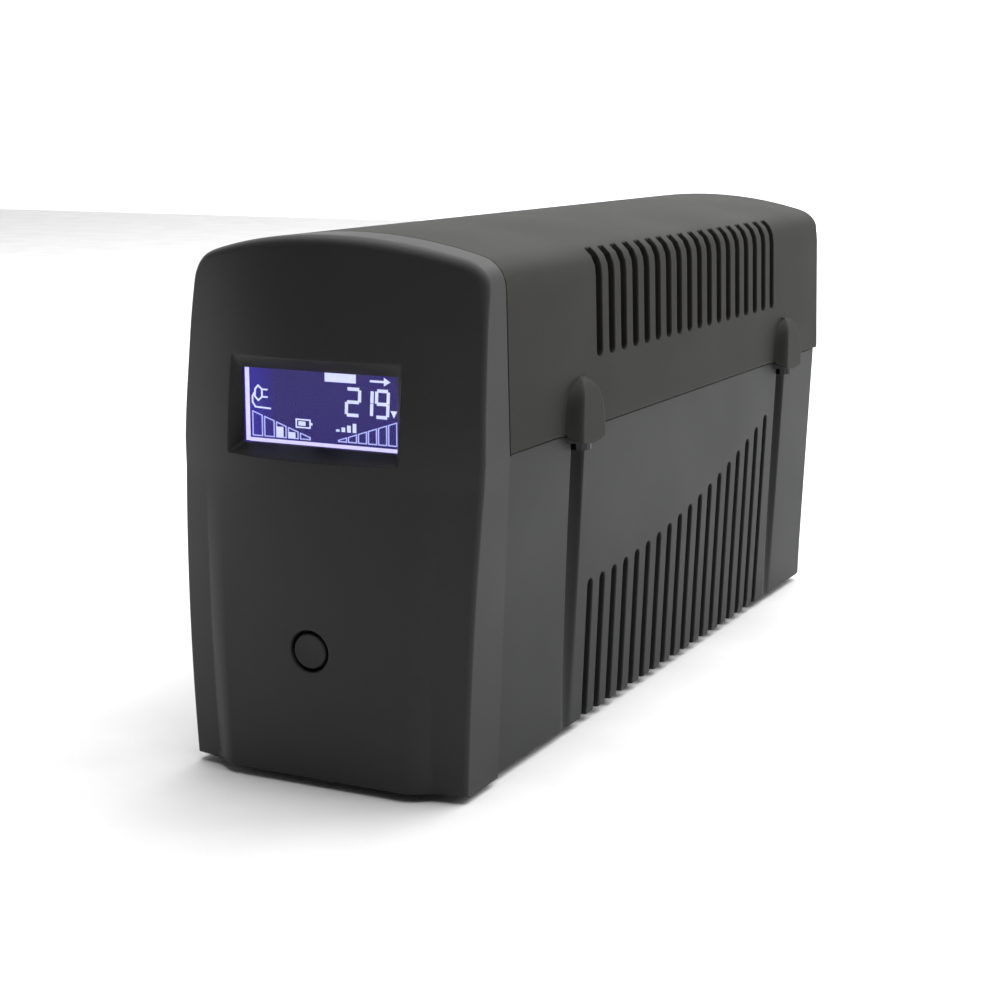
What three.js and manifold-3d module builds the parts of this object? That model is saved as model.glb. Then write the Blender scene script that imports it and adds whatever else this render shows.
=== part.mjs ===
// Uninterruptible power supply: a slim tower in two plastic shells with a front bezel, a display, a power
// button, a rear socket panel, and the battery, transformer and circuit boards inside.
// Millimetres. Every piece is made with x to the right, y from front to back and z up from the base's
// underside; the group at the end sets the whole tower on its feet with its middle over the origin.
import * as THREE from "three";
import { mergeVertices } from "three/addons/utils/BufferGeometryUtils.js";
import Module from "manifold-3d";

const wasm = await Module();
wasm.setup();

// ---- Housing ----
const WALL = 2.5; // thickness of the shells and of the bezel
const GAP = 0.3; // clearance between two pieces that meet
const SEAT_GAP = 0.1; // clearance under a piece that is glued or soldered down
const OVER = 1; // how far a cutting block runs past what it cuts
const SEAM_Z = 87; // height of the seam between the base and the cover
const SEAM_HALF_WIDTH = 45.3; // half the width at the seam, where the housing is widest
const COVER_DRAFT = 0.027; // how much a cover side leans in for each millimetre above the seam
const BASE_DRAFT = 0.041; // how much a base side leans in for each millimetre below the seam
const CROWN_Z = 142.6; // top of the arched roof
const ROOF_RADIUS = 139; // radius of the roof arch
const ROOF_CORNER = 6.5; // size of the rounding between side and roof
const REAR_ROUND = 3; // size of the rounding of the rear edges
const BEZEL_REAR_Y = 17.5; // rear edge of the bezel's band
const BASE_SETBACK = 1; // how far the base stands inside the cover
const TONGUE = 1.4; // thickness of the bezel's locating tongue
const TONGUE_REACH = 5.5; // how far the tongue goes into the shells
const TONGUE_LOW_Z = 12; // the tongue stops above the floor, clear of the battery

// ---- Length, from the pieces that stand one behind another inside ----
const BATTERY_FRONT_Y = 19;
const BATTERY = [65, 151, 94]; // width, length and height
const CORE_CLEARANCE = 12; // from the battery to the transformer's core, for the strap's front foot
const CORE = [42, 60, 50]; // stack thickness, length and height of the laminations
const SOCKET_SPACE = 35; // from the core to the rear of the cover, for the strap, the sockets and the panel
const REAR_Y = BATTERY_FRONT_Y + BATTERY[1] + CORE_CLEARANCE + CORE[1] + SOCKET_SPACE; // rear of the cover

// ---- Vent slots ----
const SLOT_COUNT = 18;
const SLOT_FIRST_Y = 75.6;
const SLOT_PITCH = 8.717;
const COVER_SLOT_WIDTH = 3.9;
const COVER_SLOT_LOW_Z = 106; // lower ends of the cover's slots
const COVER_SLOT_WRAP = 4.9; // how far they reach round the corner, in from the side at the seam
const BASE_SLOT_WIDTH = 3.6;
const BASE_SLOT_TOP_Z = 41.8; // top of the first of the base's slots
const BASE_SLOT_RISE = 0.0927; // their tops rise by this times the square of the slot's number
const BASE_SLOT_DEPTH = WALL + 1; // how far they cut into the base's bottom edge

// ---- Housing screws, the pods over them and the grooves under them ----
const FRONT_SCREW_Y = 62.3;
const REAR_SCREW_INSET = 39.7; // rear screws, measured from the rear face
const SCREW_INSET = 0.4; // screw axis, in from the side at the seam
const SCREW_RADIUS = 1.4;
const SCREW_HEAD_RADIUS = 3;
const SCREW_HEAD = 2.2;
const SCREW_TOP_Z = 97;
const POD_HALF_WIDTH = 11.5;
const POD_PROUD = 3.9;
const POD_LOW_Z = 83.8;
const POD_TOP_Z = 101.6;
const BOSS_RADIUS = 3.6;
const GROOVE_RADIUS = 4.45;
const TAB_LOW_Z = 84.3; // underside of the base's screw tab, where the groove ends
const TAB_HALF_WIDTH = 9.2;
const TAB_PROUD = 2.5;

// ---- Bezel face ----
const FACE_CREST_Z = 80; // height where the face stands furthest forward
const FACE_CREST_Y = -9.6;
const FACE_CURL = 0.003; // how fast the face falls back above the crest
const FACE_LOW_Y = -4.9; // where the face's own curve meets the underside
const FACE_BOW = 0.006; // sideways bow of the face at the crest
const FACE_BOW_LOW = 0.0026; // sideways bow at the underside
const FACE_BOW_LOSS = 0.0025; // bow lost between the top of the display and the roof
const FACE_BOW_Z = 100;
const PLATEAU_LOW_Y = -5.8; // raised centre of the face, at the underside
const PLATEAU_EDGE = 32.5; // half width of the raised centre at the underside
const PLATEAU_FLARE = 2; // how much wider it is at the crest
const PLATEAU_SLOPE = 6.5; // width of the slope at its sides
const FACE_ROWS = 14;

// ---- Display ----
const WINDOW_HALF_WIDTH = 23.05;
const WINDOW_LOW_Z = 88.5;
const WINDOW_TOP_Z = 108.1;
const WINDOW_Y = -1.6; // rear edge of the recess
const RECESS_HALF_WIDTH = 25.5;
const RECESS_LOW_Z = 86;
const RECESS_TOP_Z = 111.7;
const LIP = 0.6; // edge that holds the window from the front
const WINDOW_BORDER = 1.5; // how far the window reaches behind that edge
const WINDOW_THICK = 1.2;
const LCD_THICK = 1.8;
const BACKLIGHT_THICK = 4;
const COLLAR_WALL = 1.8;
const COLLAR_REAR_Y = 4;
const BOARD_THICK = 1.6;
const DISPLAY_BOARD_HALF_WIDTH = 29;
const DISPLAY_BOARD_Z = [25, 118];

// ---- Power button and its switch ----
const BUTTON_Z = 36;
const BUTTON_RADIUS = 4.75;
const BUTTON_CLEARANCE = 0.85;
const BUTTON_SUNK = 0.3;
const BUTTON_TRAVEL = 1.2;
const BUTTON_FLANGE_RADIUS = 7;
const BUTTON_FLANGE = 1.2;
const STEM_RADIUS = 2.2;
const SWITCH_SIZE = 7;
const SWITCH_DEPTH = 3.6;
const PLUNGER_RADIUS = 1.6;
const SWITCH_FLOOR = 0.6; // wall of the switch behind its plunger
const BUZZER_RADIUS = 6;
const BUZZER_DEPTH = 8;
const BUZZER_X = -14;
const BUZZER_Z = 60;

// ---- Feet ----
const FOOT_RADIUS = 6;
const FOOT_PROUD = 2;
const FOOT_TAPER = 0.6;
const FOOT_SIDE_INSET = 14;
const FOOT_FRONT_Y = 32;
const FOOT_REAR_INSET = 22;

// ---- Rear panel and what is fixed to it ----
const PANEL_THICK = 2.5;
const PANEL_OPENING_HALF_WIDTH = 36;
const PANEL_OPENING_Z = [7.5, 131];
const PANEL_FACE_Y = REAR_Y - BASE_SETBACK - WALL - GAP; // outer face of the rear panel
const PANEL_BACK_Y = PANEL_FACE_Y - PANEL_THICK;
const RIB_THICK = 2;
const RIB_REACH = 4;
const SOCKET_COLUMN_X = 17.5;
const OUTLET_ROWS_Z = [57, 86];
const INLET_Z = 26;
const SOCKET_FLANGE = [33, 26, 2];
const SOCKET_BARREL = [30, 23];
const SOCKET_DEPTH = 20; // from the panel's face to the back of a socket
const PLUG_OUTER = [27.4, 20.4]; // room for a plug's shroud
const PLUG_INNER = [24, 16.4]; // block that the shroud fits around
const PLUG_CORNER = 5;
const PLUG_DEPTH = 15;
const PLUG_BLOCK_SUNK = 0.5;
const CONTACT_X = 7;
const CONTACT_Z = -2; // line and neutral contacts, from the socket's middle
const EARTH_Z = 3;
const CONTACT = [1.4, 4]; // width and height of a contact blade
const CONTACT_SLOT = [2.4, 5];
const PIN = [2, 4];
const PIN_SUNK = 3.5;
const PIN_TAIL = 5; // length of a pin's tab behind its socket
const BUSBAR_THICK = 1;
const BUSBAR_STEP = 2.4; // from one busbar to the next
const BUSBAR_CLEARANCE = 1;
const BUSBAR_WIDTH = 5;
const BREAKER_BUSHING_RADIUS = 5.5;
const BREAKER_BORE_RADIUS = 3.6;
const BREAKER_BUTTON_RADIUS = 3.2;
const BREAKER_NUT_RADIUS = 8;
const BREAKER_BODY = [15, 22, 28];
const BREAKER_BUTTON_LENGTH = 16;
const PORT_Z = 114;
const PORT_PROUD = 1; // ports stand this far out of the panel
const USB_X = -20;
const USB_BODY = [12, 18, 11];
const USB_PORT = [8.4, 9, 7.8];
const USB_TONGUE = [5.4, 8, 3];
const JACK_X = 10;
const JACK_BODY = [30, 18, 14];
const JACK_PORT = [11.7, 12, 8.4];
const JACK_PORT_X = 7.2;
const INTERFACE_BOARD = [66, 22];

// ---- Battery, tray and main board ----
const TERMINAL = [0.8, 6.35, 6];
const TERMINAL_X = 20;
const TERMINAL_INSET = 12;
const TRAY_THICK = 1.2;
const TRAY_Y = [62, 166];
const STANDOFF_RADIUS = 3;
const STANDOFF_HEIGHT = 6;
const STANDOFF_INSET = 6;
const MAIN_BOARD_HALF_WIDTH = 34;
const HEAT_SINK = [12, 60, 22];
const HEAT_SINK_X = 25;
const HEAT_SINK_BASE = 4;
const FIN_COUNT = 5;
const FIN_THICK = 1.2;
const CAPACITOR_RADIUS = 8;
const CAPACITOR_HEIGHT = 25;
const CAPACITOR_Y = [104, 124];
const RELAY = [15, 20, 15.5];
const RELAY_Y = [100, 124];

// ---- Transformer ----
const CORE_LIMB = 10;
const CORE_SUPPORT = 1.5; // pads that hold the core clear of the floor
const WINDING_BULGE = 11;
const STRAP_THICK = 1.5;
const STRAP_WIDTH = 14;
const STRAP_FOOT = 9;
const STRAP_SCREW_RADIUS = 2;
const STRAP_HEAD_LIP = 1.8; // how far a screw's head stands out round its shank
const STRAP_HEAD = 2;
const STRAP_BOSS_WALL = 2;
const STRAP_BOSS = 2; // height of the bosses under the strap's feet

// ---- Leads and wiring ----
const LEAD_RADIUS = 1.6;
const BUNDLE_RADIUS = 2.5;
const RIBBON = [24, 0.8];
const RIBBON_RISE = 6; // height of the ribbon over the main board
const RIBBON_INSET = 8; // where it comes down, behind the board's front edge

const FLOOR_Z = WALL + GAP;
const SIDES = { left: -1, right: 1 };

// ---- Solids ----
function solidOf(geometry) {
  const loose = geometry.index ? geometry.toNonIndexed() : geometry.clone();
  loose.deleteAttribute("normal");
  loose.deleteAttribute("uv");
  const merged = mergeVertices(loose, 1e-4);
  const vertProperties = merged.attributes.position.array;
  const triVerts = new Uint32Array(merged.index.array);
  return new wasm.Manifold(new wasm.Mesh({ numProp: 3, vertProperties, triVerts }));
}

function geometryOf(solid) {
  const mesh = solid.getMesh();
  const geometry = new THREE.BufferGeometry();
  geometry.setAttribute("position", new THREE.BufferAttribute(mesh.vertProperties, 3));
  geometry.setIndex(new THREE.BufferAttribute(mesh.triVerts, 1));
  geometry.computeVertexNormals();
  return geometry;
}

const join = (first, ...others) => others.reduce((whole, piece) => whole.add(piece), first);
const cut = (first, ...others) => others.reduce((whole, piece) => whole.subtract(piece), first);

// A box from its low and high bounds along x, y and z.
function block([x0, x1], [y0, y1], [z0, z1]) {
  const geometry = new THREE.BoxGeometry(x1 - x0, y1 - y0, z1 - z0);
  return solidOf(geometry.translate((x0 + x1) / 2, (y0 + y1) / 2, (z0 + z1) / 2));
}

const about = (middle, size) => [middle - size / 2, middle + size / 2];

// A round bar along y or z, between two heights on its axis.
function barY(radius, x, [y0, y1], z, sides = 20) {
  const geometry = new THREE.CylinderGeometry(radius, radius, y1 - y0, sides);
  return solidOf(geometry.translate(x, (y0 + y1) / 2, z));
}

function barZ(radius, x, y, [z0, z1], sides = 16) {
  const geometry = new THREE.CylinderGeometry(radius, radius, z1 - z0, sides);
  return solidOf(geometry.rotateX(Math.PI / 2).translate(x, y, (z0 + z1) / 2));
}

// A shape drawn in x and z, extruded along y.
function plateY(shape, [y0, y1], curveSegments = 4) {
  const geometry = new THREE.ExtrudeGeometry(shape, { depth: y1 - y0, bevelEnabled: false, curveSegments });
  return solidOf(geometry.rotateX(Math.PI / 2).translate(0, y1, 0));
}

// A shape drawn in y and z, extruded along x.
function plateX(shape, [x0, x1], curveSegments = 2) {
  const geometry = new THREE.ExtrudeGeometry(shape, { depth: x1 - x0, bevelEnabled: false, curveSegments });
  const turn = new THREE.Matrix4().makeBasis(
    new THREE.Vector3(0, 1, 0),
    new THREE.Vector3(0, 0, 1),
    new THREE.Vector3(1, 0, 0),
  );
  return solidOf(geometry.applyMatrix4(turn).translate(x0, 0, 0));
}

function polygon(points) {
  return new THREE.Shape(points.map(([a, b]) => new THREE.Vector2(a, b)));
}

// A block whose front and rear faces are grids: front(u, v) and rear(u, v) give the points, u from -1 to 1.
function griddedBlock(columns, rows, front, rear) {
  const geometry = new THREE.BoxGeometry(2, 2, 1, columns, 1, rows);
  const place = geometry.attributes.position;
  for (let i = 0; i < place.count; i++) {
    const face = place.getY(i) < 0 ? front : rear;
    place.setXYZ(i, ...face(place.getX(i), place.getZ(i) + 0.5));
  }
  return solidOf(geometry);
}

// A tube of the given radius along a smooth curve through points.
function tube(points, radius, steps) {
  const section = new THREE.Shape().absarc(0, 0, radius, 0, 2 * Math.PI);
  const extrudePath = new THREE.CatmullRomCurve3(points.map((p) => new THREE.Vector3(...p)));
  return solidOf(new THREE.ExtrudeGeometry(section, { steps, extrudePath, curveSegments: 4 }));
}

// ---- Outline of the housing ----
function halfWidthAt(z, inset = 0) {
  const lean = z > SEAM_Z ? COVER_DRAFT * (z - SEAM_Z) : BASE_DRAFT * (SEAM_Z - z);
  return SEAM_HALF_WIDTH - inset - lean;
}

function roofAt(x, inset = 0) {
  const radius = ROOF_RADIUS - inset;
  return CROWN_Z - ROOF_RADIUS + Math.sqrt(radius * radius - x * x);
}

function housingOutline(inset, lowZ) {
  const corner = Math.max(ROOF_CORNER - inset, 1);
  const topX = halfWidthAt(roofAt(SEAM_HALF_WIDTH, inset), inset);
  const topZ = roofAt(topX, inset);
  const wallZ = topZ - corner;
  const roofX = topX - corner;
  const radius = ROOF_RADIUS - inset;
  const slope = Math.acos(roofX / radius);
  const shape = new THREE.Shape();
  shape.moveTo(-halfWidthAt(lowZ, inset), lowZ);
  shape.lineTo(halfWidthAt(lowZ, inset), lowZ);
  if (lowZ < SEAM_Z) shape.lineTo(halfWidthAt(SEAM_Z, inset), SEAM_Z);
  shape.lineTo(halfWidthAt(wallZ, inset), wallZ);
  shape.quadraticCurveTo(topX, topZ, roofX, roofAt(roofX, inset));
  shape.absarc(0, CROWN_Z - ROOF_RADIUS, radius, slope, Math.PI - slope, false);
  shape.quadraticCurveTo(-topX, topZ, -halfWidthAt(wallZ, inset), wallZ);
  if (lowZ < SEAM_Z) shape.lineTo(-halfWidthAt(SEAM_Z, inset), SEAM_Z);
  return shape;
}

// The housing's block, with rounded rear edges. Its front bevel lies ahead of frontY, for the caller to cut.
function housingBlock(inset, lowZ, frontY, rearY, round) {
  const geometry = new THREE.ExtrudeGeometry(housingOutline(inset, lowZ), {
    depth: rearY - frontY - round,
    bevelEnabled: round > 0,
    bevelThickness: round,
    bevelSize: round,
    bevelOffset: -round,
    bevelSegments: 3,
    curveSegments: 5,
  });
  return solidOf(geometry.rotateX(Math.PI / 2).translate(0, rearY - round, 0));
}

const REACH = 200; // larger than any half size, for blocks that only trim
const frontOf = (y) => block([-REACH, REACH], [y - 4 * REACH, y], [-REACH, 2 * REACH]);
const below = (z) => block([-REACH, REACH], [-REACH, 4 * REACH], [z - 2 * REACH, z]);
const above = (z) => block([-REACH, REACH], [-REACH, 4 * REACH], [z, z + 2 * REACH]);

const slotPlaces = Array.from({ length: SLOT_COUNT }, (_, i) => SLOT_FIRST_Y + SLOT_PITCH * i);
const screwPlaces = { front: FRONT_SCREW_Y, rear: REAR_Y - REAR_SCREW_INSET };
const screwX = SEAM_HALF_WIDTH - SCREW_INSET;

function eachScrew(make) {
  return Object.values(SIDES).flatMap((side) => Object.values(screwPlaces).map((y) => make(side, y)));
}

// The opening that both shells leave for the rear panel, through a rear wall.
function panelOpening(wallY, zRange) {
  return block(about(0, 2 * PANEL_OPENING_HALF_WIDTH), [wallY - 2 * WALL, wallY + WALL], zRange);
}

// ---- Cover ----
function roundedSlot(y, width, low, high, roundLow) {
  const half = width / 2;
  const shape = new THREE.Shape();
  if (roundLow) {
    shape.moveTo(y + half, high);
    shape.lineTo(y - half, high);
    shape.absarc(y, low + half, half, Math.PI, 2 * Math.PI, false);
  } else {
    shape.moveTo(y - half, low);
    shape.lineTo(y + half, low);
    shape.absarc(y, high - half, half, 0, Math.PI, false);
  }
  return shape;
}

function sideRange(side, near, far) {
  return side > 0 ? [near, far] : [-far, -near];
}

// A pod is a bullet, flattened against the side of the housing.
function pod(side, y) {
  const steps = 5;
  const profile = [new THREE.Vector2(0, POD_LOW_Z), new THREE.Vector2(POD_HALF_WIDTH, POD_LOW_Z)];
  for (let i = 1; i < steps; i++) {
    const angle = (i / steps) * (Math.PI / 2);
    const radius = POD_HALF_WIDTH * Math.sqrt(Math.cos(angle));
    profile.push(new THREE.Vector2(radius, POD_LOW_Z + (POD_TOP_Z - POD_LOW_Z) * Math.sin(angle)));
  }
  profile.push(new THREE.Vector2(0, POD_TOP_Z));
  const geometry = new THREE.LatheGeometry(profile, 16);
  geometry.rotateX(Math.PI / 2).scale(POD_PROUD / POD_HALF_WIDTH, 1, 1);
  return solidOf(geometry.translate(side * SEAM_HALF_WIDTH, y, 0));
}

function tabShape(side, y, extra, zRange) {
  const geometry = new THREE.CylinderGeometry(1, 1, zRange[1] - zRange[0], 20);
  geometry.rotateX(Math.PI / 2).scale(TAB_PROUD + extra, TAB_HALF_WIDTH + extra, 1);
  return solidOf(geometry.translate(side * SEAM_HALF_WIDTH, y, (zRange[0] + zRange[1]) / 2));
}

function topCover() {
  const frontY = BEZEL_REAR_Y + GAP;
  const outer = housingBlock(0, SEAM_Z - REAR_ROUND, frontY, REAR_Y, REAR_ROUND);
  const inner = housingBlock(WALL, SEAM_Z - REAR_ROUND, frontY - WALL, REAR_Y - WALL, 0);
  let shell = cut(outer, inner, below(SEAM_Z), frontOf(frontY));
  const baseSide = halfWidthAt(SEAM_Z, BASE_SETBACK) + GAP;
  const besideBase = block([-baseSide, baseSide], [-REACH, 4 * REACH], [0, SEAM_Z]);
  eachScrew((side, y) => {
    const skirt = cut(pod(side, y), besideBase, tabShape(side, y, GAP, [POD_LOW_Z - OVER, SEAM_Z]));
    const post = barZ(BOSS_RADIUS, side * screwX, y, [SEAM_Z, POD_TOP_Z]);
    const boss = post.intersect(join(outer, pod(side, y)));
    shell = join(shell, skirt, boss);
  });
  eachScrew((side, y) => {
    shell = cut(shell, barZ(SCREW_RADIUS + GAP, side * screwX, y, [SEAM_Z - OVER, SCREW_TOP_Z + GAP], 10));
  });
  for (const side of Object.values(SIDES)) {
    const range = sideRange(side, SEAM_HALF_WIDTH - COVER_SLOT_WRAP, SEAM_HALF_WIDTH + POD_PROUD);
    for (const y of slotPlaces) {
      const slot = roundedSlot(y, COVER_SLOT_WIDTH, COVER_SLOT_LOW_Z, CROWN_Z, true);
      shell = cut(shell, plateX(slot, range));
    }
  }
  return cut(shell, panelOpening(REAR_Y, [0, PANEL_OPENING_Z[1]]));
}

// ---- Base ----
function baseShell() {
  const frontY = BEZEL_REAR_Y + GAP;
  const rearY = REAR_Y - BASE_SETBACK;
  const top = above(SEAM_Z - GAP);
  const outer = cut(housingBlock(BASE_SETBACK, 0, frontY, rearY, REAR_ROUND), top, frontOf(frontY));
  const inner = housingBlock(BASE_SETBACK + WALL, WALL, frontY - WALL, rearY - WALL, 0);
  let shell = cut(outer, inner);
  eachScrew((side, y) => {
    const liner = barZ(GROOVE_RADIUS + WALL, side * SEAM_HALF_WIDTH, y, [0, SEAM_Z]).intersect(outer);
    shell = join(shell, liner, tabShape(side, y, 0, [TAB_LOW_Z, SEAM_Z - GAP]));
  });
  eachScrew((side, y) => {
    const groove = barZ(GROOVE_RADIUS, side * screwX, y, [-OVER, TAB_LOW_Z], 20);
    shell = cut(shell, groove, barZ(SCREW_RADIUS + GAP, side * screwX, y, [TAB_LOW_Z - OVER, SEAM_Z], 10));
  });
  for (const side of Object.values(SIDES)) {
    const range = sideRange(side, halfWidthAt(0, BASE_SETBACK + BASE_SLOT_DEPTH), SEAM_HALF_WIDTH);
    slotPlaces.forEach((y, i) => {
      const topZ = BASE_SLOT_TOP_Z + BASE_SLOT_RISE * i * i;
      shell = cut(shell, plateX(roundedSlot(y, BASE_SLOT_WIDTH, -1, topZ, false), range));
    });
    const ribX = halfWidthAt(0, BASE_SETBACK + WALL + RIB_REACH);
    const ribY = [PANEL_BACK_Y - GAP - RIB_THICK, PANEL_BACK_Y - GAP];
    const rib = block(sideRange(side, ribX, SEAM_HALF_WIDTH), ribY, [WALL / 2, SEAM_Z - RIB_REACH]);
    shell = join(shell, rib.intersect(outer));
  }
  shell = cut(shell, panelOpening(rearY, [PANEL_OPENING_Z[0], SEAM_Z]));
  for (const y of strapScrewPlaces) {
    shell = join(shell, barZ(STRAP_SCREW_RADIUS + STRAP_BOSS_WALL, 0, y, [WALL / 2, strapBossZ]));
    shell = cut(shell, barZ(STRAP_SCREW_RADIUS + GAP, 0, y, [WALL / 2, strapBossZ + OVER], 10));
  }
  return shell;
}

// ---- Bezel ----
const faceFall = (z) => (FACE_CREST_Z - z) / FACE_CREST_Z; // 1 at the underside, 0 at the crest

// How far forward the face stands at a point: its own curve, with the raised centre below the crest.
function faceY(x, z) {
  if (z >= FACE_CREST_Z) {
    const bowLoss = FACE_BOW_LOSS * (Math.max(0, z - FACE_BOW_Z) / (CROWN_Z - FACE_BOW_Z)) ** 2;
    return FACE_CREST_Y + FACE_CURL * (z - FACE_CREST_Z) ** 2 + (FACE_BOW - bowLoss) * x * x;
  }
  const fall = faceFall(z);
  const curve = FACE_CREST_Y + (FACE_LOW_Y - FACE_CREST_Y) * fall * fall
    + (FACE_BOW + (FACE_BOW_LOW - FACE_BOW) * fall) * x * x;
  const plateau = FACE_CREST_Y + (PLATEAU_LOW_Y - FACE_CREST_Y) * fall * fall + FACE_BOW * (1 - fall) * x * x;
  const share = THREE.MathUtils.clamp((plateauEdge(z) - Math.abs(x)) / PLATEAU_SLOPE, 0, 1);
  return curve + share * (plateau - curve);
}

function plateauEdge(z) {
  return PLATEAU_EDGE + PLATEAU_FLARE * Math.min(1, Math.max(0, 1 - faceFall(z)));
}

// Columns of the face's grid: three across the raised centre's half, its slope, and two beyond it.
function faceColumn(u, z) {
  const edge = plateauEdge(z);
  const inner = edge - PLATEAU_SLOPE;
  const outermost = SEAM_HALF_WIDTH + POD_PROUD;
  const columns = [0, inner / 3, (2 * inner) / 3, inner, edge, (edge + outermost) / 2, outermost];
  return Math.sign(u) * columns[Math.round(Math.abs(u) * (columns.length - 1))];
}

// Everything behind the face, set back by a depth.
function behindFace(depth) {
  const heightOf = (v) => v * (CROWN_Z + 2 * OVER) - OVER;
  const rearY = BEZEL_REAR_Y + 4 * WALL;
  const front = (u, v) => {
    const z = heightOf(v);
    const x = faceColumn(u, z);
    return [x, faceY(x, z) + depth, z];
  };
  const rear = (u, v) => [faceColumn(u, heightOf(v)), rearY, heightOf(v)];
  return griddedBlock(12, FACE_ROWS, front, rear);
}

const recessZ = (v) => RECESS_LOW_Z + v * (RECESS_TOP_Z - RECESS_LOW_Z);
const windowZ = (v) => WINDOW_LOW_Z + v * (WINDOW_TOP_Z - WINDOW_LOW_Z);

// The display recess: its sides run from a rectangle drawn on the curved face to the window's edge.
function displayRecess() {
  const rim = (u, v) => [u * RECESS_HALF_WIDTH, faceY(u * RECESS_HALF_WIDTH, recessZ(v)), recessZ(v)];
  const ahead = (u, v) => [u * RECESS_HALF_WIDTH, FACE_CREST_Y - 2 * WALL, recessZ(v)];
  const behindRim = (u, v) => rim(u, v).map((value, axis) => (axis === 1 ? value + GAP : value));
  const window = (u, v) => [u * WINDOW_HALF_WIDTH, WINDOW_Y, windowZ(v)];
  return join(griddedBlock(8, 6, ahead, behindRim), griddedBlock(8, 6, rim, window));
}

function displayStack(border, y) {
  const x = about(0, 2 * (WINDOW_HALF_WIDTH + border));
  return block(x, y, [WINDOW_LOW_Z - border, WINDOW_TOP_Z + border]);
}

const buttonFaceY = faceY(0, BUTTON_Z);
const lcdFrontY = WINDOW_Y + LIP + GAP + WINDOW_THICK + GAP;
const backlightFrontY = lcdFrontY + LCD_THICK + GAP;
const displayBoardY = backlightFrontY + BACKLIGHT_THICK + GAP;

function frontBezel() {
  const outline = housingBlock(0, 0, FACE_CREST_Y - WALL, BEZEL_REAR_Y, 0);
  const hollow = housingBlock(WALL, WALL, FACE_CREST_Y - WALL, BEZEL_REAR_Y + WALL, 0);
  const inside = hollow.intersect(behindFace(WALL));
  const shell = cut(outline.intersect(behindFace(0)), inside);
  const tongueInset = BASE_SETBACK + WALL + GAP;
  const tongueFrontY = BEZEL_REAR_Y - 2 * TONGUE;
  const tongueRearY = BEZEL_REAR_Y + TONGUE_REACH;
  const joint = housingBlock(WALL / 2, WALL / 2, tongueFrontY, BEZEL_REAR_Y, 0);
  const reach = housingBlock(tongueInset, WALL + GAP, tongueFrontY, tongueRearY, 0);
  const innerInset = tongueInset + TONGUE;
  const tongueHollow = housingBlock(innerInset, TONGUE_LOW_Z / 2, tongueFrontY - OVER, tongueRearY + OVER, 0);
  const tongue = cut(join(joint, reach), tongueHollow, below(TONGUE_LOW_Z));
  const collar = displayStack(WINDOW_BORDER + GAP + COLLAR_WALL, [FACE_CREST_Y, COLLAR_REAR_Y]);
  const solid = join(shell, tongue, collar.intersect(behindFace(WALL / 2)));
  const pocket = displayStack(WINDOW_BORDER + GAP, [WINDOW_Y + LIP, COLLAR_REAR_Y + OVER]);
  const throughLip = displayStack(0, [WINDOW_Y - GAP, WINDOW_Y + LIP + GAP]);
  const holeY = [buttonFaceY - WALL, buttonFaceY + 2 * WALL];
  const buttonHole = barY(BUTTON_RADIUS + BUTTON_CLEARANCE, 0, holeY, BUTTON_Z, 28);
  return cut(solid, displayRecess(), throughLip, pocket, buttonHole);
}

// ---- Front: display and power button ----
const displayWindow = () => displayStack(WINDOW_BORDER, [WINDOW_Y + LIP + GAP, lcdFrontY - GAP]);
const lcdGlass = () => displayStack(WINDOW_BORDER, [lcdFrontY, backlightFrontY - GAP]);
const lcdBacklight = () => displayStack(WINDOW_BORDER, [backlightFrontY, displayBoardY - GAP]);

function displayBoard() {
  const x = about(0, 2 * DISPLAY_BOARD_HALF_WIDTH);
  return block(x, [displayBoardY, displayBoardY + BOARD_THICK], DISPLAY_BOARD_Z);
}

const switchRearY = displayBoardY - GAP;
const plungerRoomY = switchRearY - SWITCH_FLOOR; // rear end of the plunger's bore in the switch
const plungerRearY = plungerRoomY - GAP - BUTTON_TRAVEL;
const switchFrontY = switchRearY - SWITCH_DEPTH;
const stemRearY = switchFrontY - BUTTON_TRAVEL - 2 * GAP;
const flangeFrontY = faceY(BUTTON_FLANGE_RADIUS, BUTTON_Z - BUTTON_FLANGE_RADIUS) + WALL + 2 * GAP;

function buttonCap() {
  const cap = barY(BUTTON_RADIUS, 0, [buttonFaceY + BUTTON_SUNK, flangeFrontY + GAP], BUTTON_Z, 28);
  const flange = barY(BUTTON_FLANGE_RADIUS, 0, [flangeFrontY, flangeFrontY + BUTTON_FLANGE], BUTTON_Z, 28);
  const stem = barY(STEM_RADIUS, 0, [flangeFrontY, stemRearY], BUTTON_Z, 16);
  return join(cap, flange, stem);
}

const switchPlunger = () => barY(PLUNGER_RADIUS, 0, [stemRearY + GAP, plungerRearY], BUTTON_Z, 16);

function switchBody() {
  const body = block(about(0, SWITCH_SIZE), [switchFrontY, switchRearY], about(BUTTON_Z, SWITCH_SIZE));
  return cut(body, barY(PLUNGER_RADIUS + GAP, 0, [switchFrontY - OVER, plungerRoomY], BUTTON_Z, 16));
}

function buzzer() {
  const rearY = displayBoardY - GAP;
  return barY(BUZZER_RADIUS, BUZZER_X, [rearY - BUZZER_DEPTH, rearY], BUZZER_Z, 16);
}

// ---- Feet and housing screws ----
function foot(side, y) {
  const x = side * (halfWidthAt(0) - FOOT_SIDE_INSET);
  const height = FOOT_PROUD - SEAT_GAP;
  const geometry = new THREE.CylinderGeometry(FOOT_RADIUS, FOOT_RADIUS - FOOT_TAPER, height, 20);
  return solidOf(geometry.rotateX(Math.PI / 2).translate(x, y, -FOOT_PROUD + height / 2));
}

function housingScrew(side, y) {
  const underHead = TAB_LOW_Z - GAP;
  const head = barZ(SCREW_HEAD_RADIUS, side * screwX, y, [underHead - SCREW_HEAD, underHead], 12);
  return join(head, barZ(SCREW_RADIUS, side * screwX, y, [underHead - SCREW_HEAD / 2, SCREW_TOP_Z], 10));
}

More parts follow.
